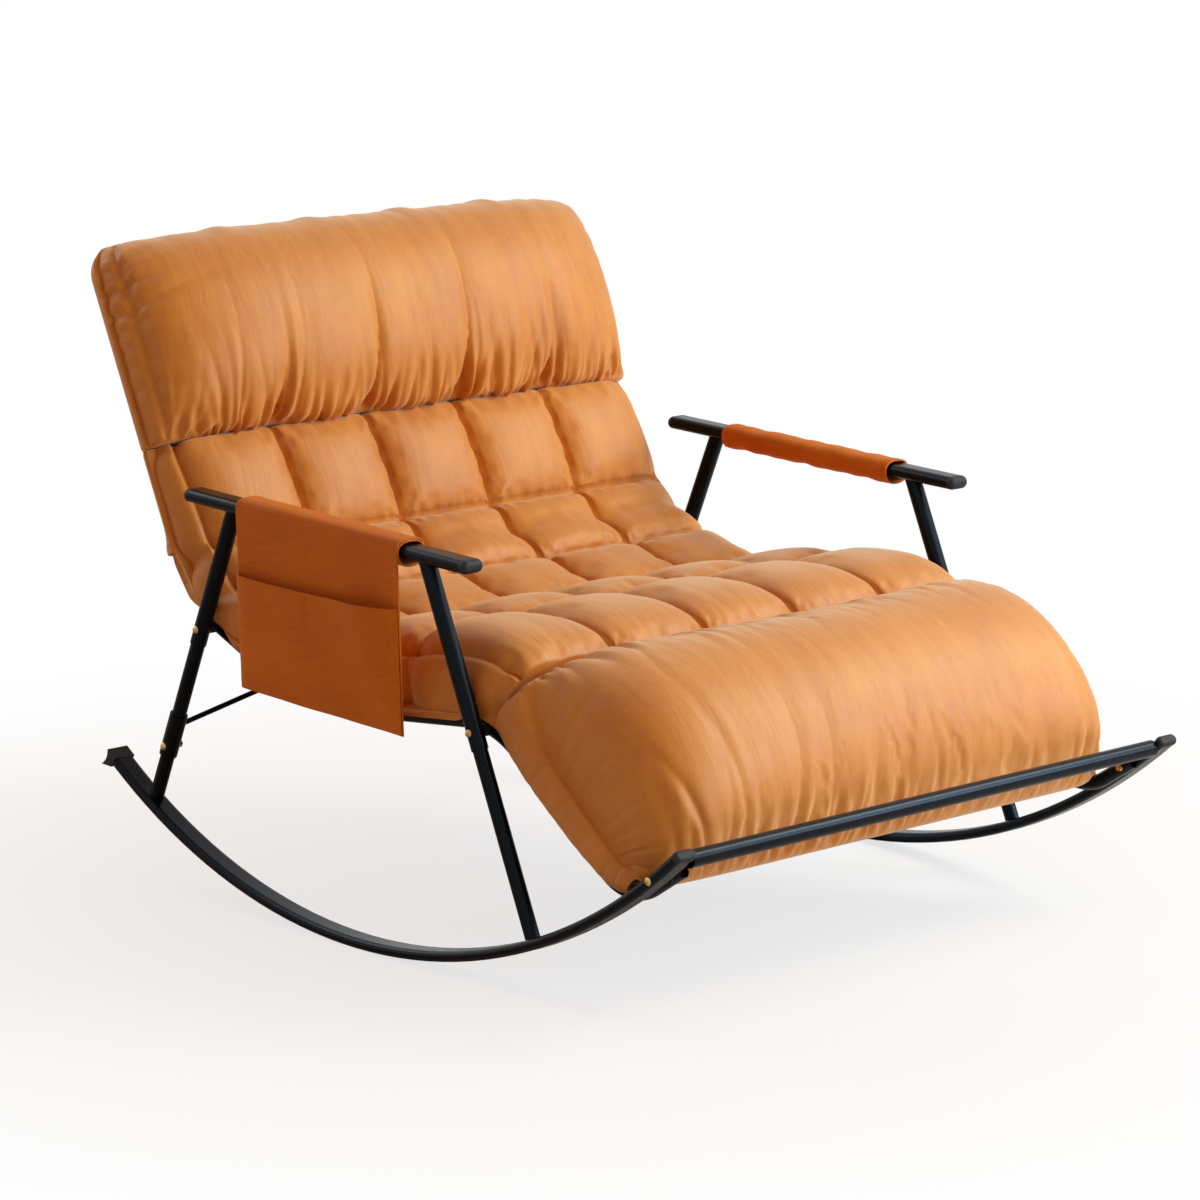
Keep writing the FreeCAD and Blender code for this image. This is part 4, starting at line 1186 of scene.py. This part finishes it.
pouch_runs = np.linspace(-1, 1, pouch_rows)[:, None]
pouch_share = np.linspace(0, 1, pouch_columns)
pouch_falls = np.linspace(pocket_mouth, pocket_drop - pouch_foot, pouch_columns)
depth_path = smooth_path(pouch_depths, path_points)
pouch_out = np.interp(pouch_share, depth_path[:, 0], depth_path[:, 1])[None, :]
pouch_side = 1 - np.abs(pouch_runs) ** pouch_side_square
gape = gape_depth * bell(pouch_runs - gape_place, gape_width) * (1 - pouch_share) ** 2
crease_off = pouch_runs - pouch_crease_place + pouch_crease_lean * pouch_share
pouch_crease = pouch_crease_depth * bell(crease_off, pouch_crease_width) * (1 - pouch_share)
wave_turn = pouch_runs * pouch_wave_turns[0] + pouch_share * pouch_wave_turns[1]
pouch_wave = pouch_wave_depth * np.sin(wave_turn) * (1 - np.abs(pouch_runs))
pouch_bulge = pouch_out - pouch_seam_depth + gape + pouch_wave - pouch_crease
pouch_bulge = pouch_seam_depth + pouch_bulge * pouch_side
mouth_sag = mouth_droop * (1 - pouch_runs ** 2) - mouth_lift + mouth_tilt * pouch_runs
mouth_sag = mouth_sag * (1 - pouch_share) ** 2
pouch_grid = arm_point(
    -1, pouch_runs * (pocket_width / 2 - pouch_inset), hang_out + pouch_lift + pouch_bulge,
    -hinge_fall - pouch_falls - mouth_sag,
)
pouch_thick = pouch_thin + mouth_hem_thick * bell(pouch_falls - pocket_mouth, mouth_hem, power=6)
pouch_thick = np.broadcast_to(pouch_thick, (pouch_rows, pouch_columns))
pocket_bag = thick_cloth("pocket_bag", pouch_grid, pouch_thick, sleeve_cloth)
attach(pocket_bag, "pocket")
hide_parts("pocket_pouch")


# Stitching: rows of short stitches in a twisted thread that is a shade darker than the cloth. They
# hold the hems of the sleeves, the pocket and the sock, and sew the pouch to the panel behind it.
stitch_share = 0.72
thread_half = 0.00045
sleeve_pitch = 0.0036
sock_pitch = 0.0042
mouth_stitch_fall = 0.012
sock_stitch_rise = 0.016


def sewing_thread():
    finish = Finish("sewing_thread", Specular_IOR_Level=0.2)
    twist = threads(finish, finish.places(), "DIAGONAL", 900.0, 0.0)
    finish.feed(
        Base_Color=finish.ramp(twist, (0.2, (0.36, 0.085, 0.008)), (0.8, (0.52, 0.135, 0.014))),
        Roughness=0.65 + twist * 0.15,
    )
    return finish.material


def stitch_maker(material):
    """Geometry Nodes that lay stitches a pitch apart along the edges of a mesh."""
    tree = bpy.data.node_groups.new("stitches", "GeometryNodeTree")
    tree.interface.new_socket("Geometry", in_out="INPUT", socket_type="NodeSocketGeometry")
    tree.interface.new_socket("Geometry", in_out="OUTPUT", socket_type="NodeSocketGeometry")
    sockets = {}
    for name, value in (
        ("Pitch", sleeve_pitch), ("Stitch length", sleeve_pitch * stitch_share), ("Thread", thread_half),
    ):
        socket = tree.interface.new_socket(name, in_out="INPUT", socket_type="NodeSocketFloat")
        socket.default_value = value
        sockets[name] = socket.identifier
    given = tree.nodes.new("NodeGroupInput")
    line = tree.nodes.new("GeometryNodeMeshToCurve")
    spots = tree.nodes.new("GeometryNodeCurveToPoints")
    spots.mode = "LENGTH"
    bead = tree.nodes.new("GeometryNodeMeshUVSphere")
    bead.inputs["Segments"].default_value = 8
    bead.inputs["Rings"].default_value = 6
    bead.inputs["Radius"].default_value = 1.0
    halved = tree.nodes.new("ShaderNodeMath")
    halved.operation = "MULTIPLY"
    halved.inputs[1].default_value = 0.5
    size = tree.nodes.new("ShaderNodeCombineXYZ")
    laid = tree.nodes.new("GeometryNodeInstanceOnPoints")
    real = tree.nodes.new("GeometryNodeRealizeInstances")
    dyed = tree.nodes.new("GeometryNodeSetMaterial")
    dyed.inputs["Material"].default_value = material
    made = tree.nodes.new("NodeGroupOutput")
    for source, target in (
        (given.outputs["Geometry"], line.inputs["Mesh"]),
        (line.outputs["Curve"], spots.inputs["Curve"]),
        (given.outputs["Pitch"], spots.inputs["Length"]),
        (spots.outputs["Points"], laid.inputs["Points"]),
        (spots.outputs["Rotation"], laid.inputs["Rotation"]),
        (bead.outputs["Mesh"], laid.inputs["Instance"]),
        (given.outputs["Stitch length"], halved.inputs[0]),
        (given.outputs["Thread"], size.inputs["X"]),
        (given.outputs["Thread"], size.inputs["Y"]),
        (halved.outputs[0], size.inputs["Z"]),
        (size.outputs[0], laid.inputs["Scale"]),
        (laid.outputs["Instances"], real.inputs["Geometry"]),
        (real.outputs["Geometry"], dyed.inputs["Geometry"]),
        (dyed.outputs["Geometry"], made.inputs["Geometry"]),
    ):
        tree.links.new(source, target)
    return tree, sockets


stitch_tree, stitch_sockets = stitch_maker(sewing_thread())


def add_stitches(name, rows, body, pitch):
    """One piece of stitching along each of the given rows of points."""
    edges = []
    for row in rows:
        first = edges[-1][1] + 1 if edges else 0
        edges += [(first + step, first + step + 1) for step in range(len(row) - 1)]
    mesh = bpy.data.meshes.new(name)
    mesh.from_pydata(np.concatenate(rows).tolist(), edges, [])
    piece = bpy.data.objects.new(name, mesh)
    scene.collection.objects.link(piece)
    sewing = piece.modifiers.new("sewing", "NODES")
    sewing.node_group = stitch_tree
    sewing[stitch_sockets["Pitch"]] = pitch
    sewing[stitch_sockets["Stitch length"]] = pitch * stitch_share
    graph = bpy.context.evaluated_depsgraph_get()
    sewn_mesh = bpy.data.meshes.new_from_object(piece.evaluated_get(graph))
    piece.modifiers.clear()
    piece.data = sewn_mesh
    sewn_mesh.shade_smooth()
    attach(piece, body)


pouch_face = just_above(pouch_grid, pouch_thick)
mouth_stitch = int(np.argmin(np.abs(pouch_falls - pocket_mouth - mouth_stitch_fall)))
add_stitches("pocket_stitches", [
    pouch_face[2:-2, mouth_stitch], pouch_face[2, :-1], pouch_face[-3, :-1], pouch_face[2:-2, -3],
], "pocket", sleeve_pitch)
sock_rises = rear_places[:, rear_columns // 2] - sock_hem_place
sock_stitch = int(np.argmin(np.abs(sock_rises - sock_stitch_rise)))
sock_face = just_above(rear_grid, rear_thick)
add_stitches("sock_stitches", [sock_face[sock_stitch, 1:-1]], "chair", sock_pitch)
add_stitches("sleeve_stitches", sleeve_hems, "chair", sleeve_pitch)
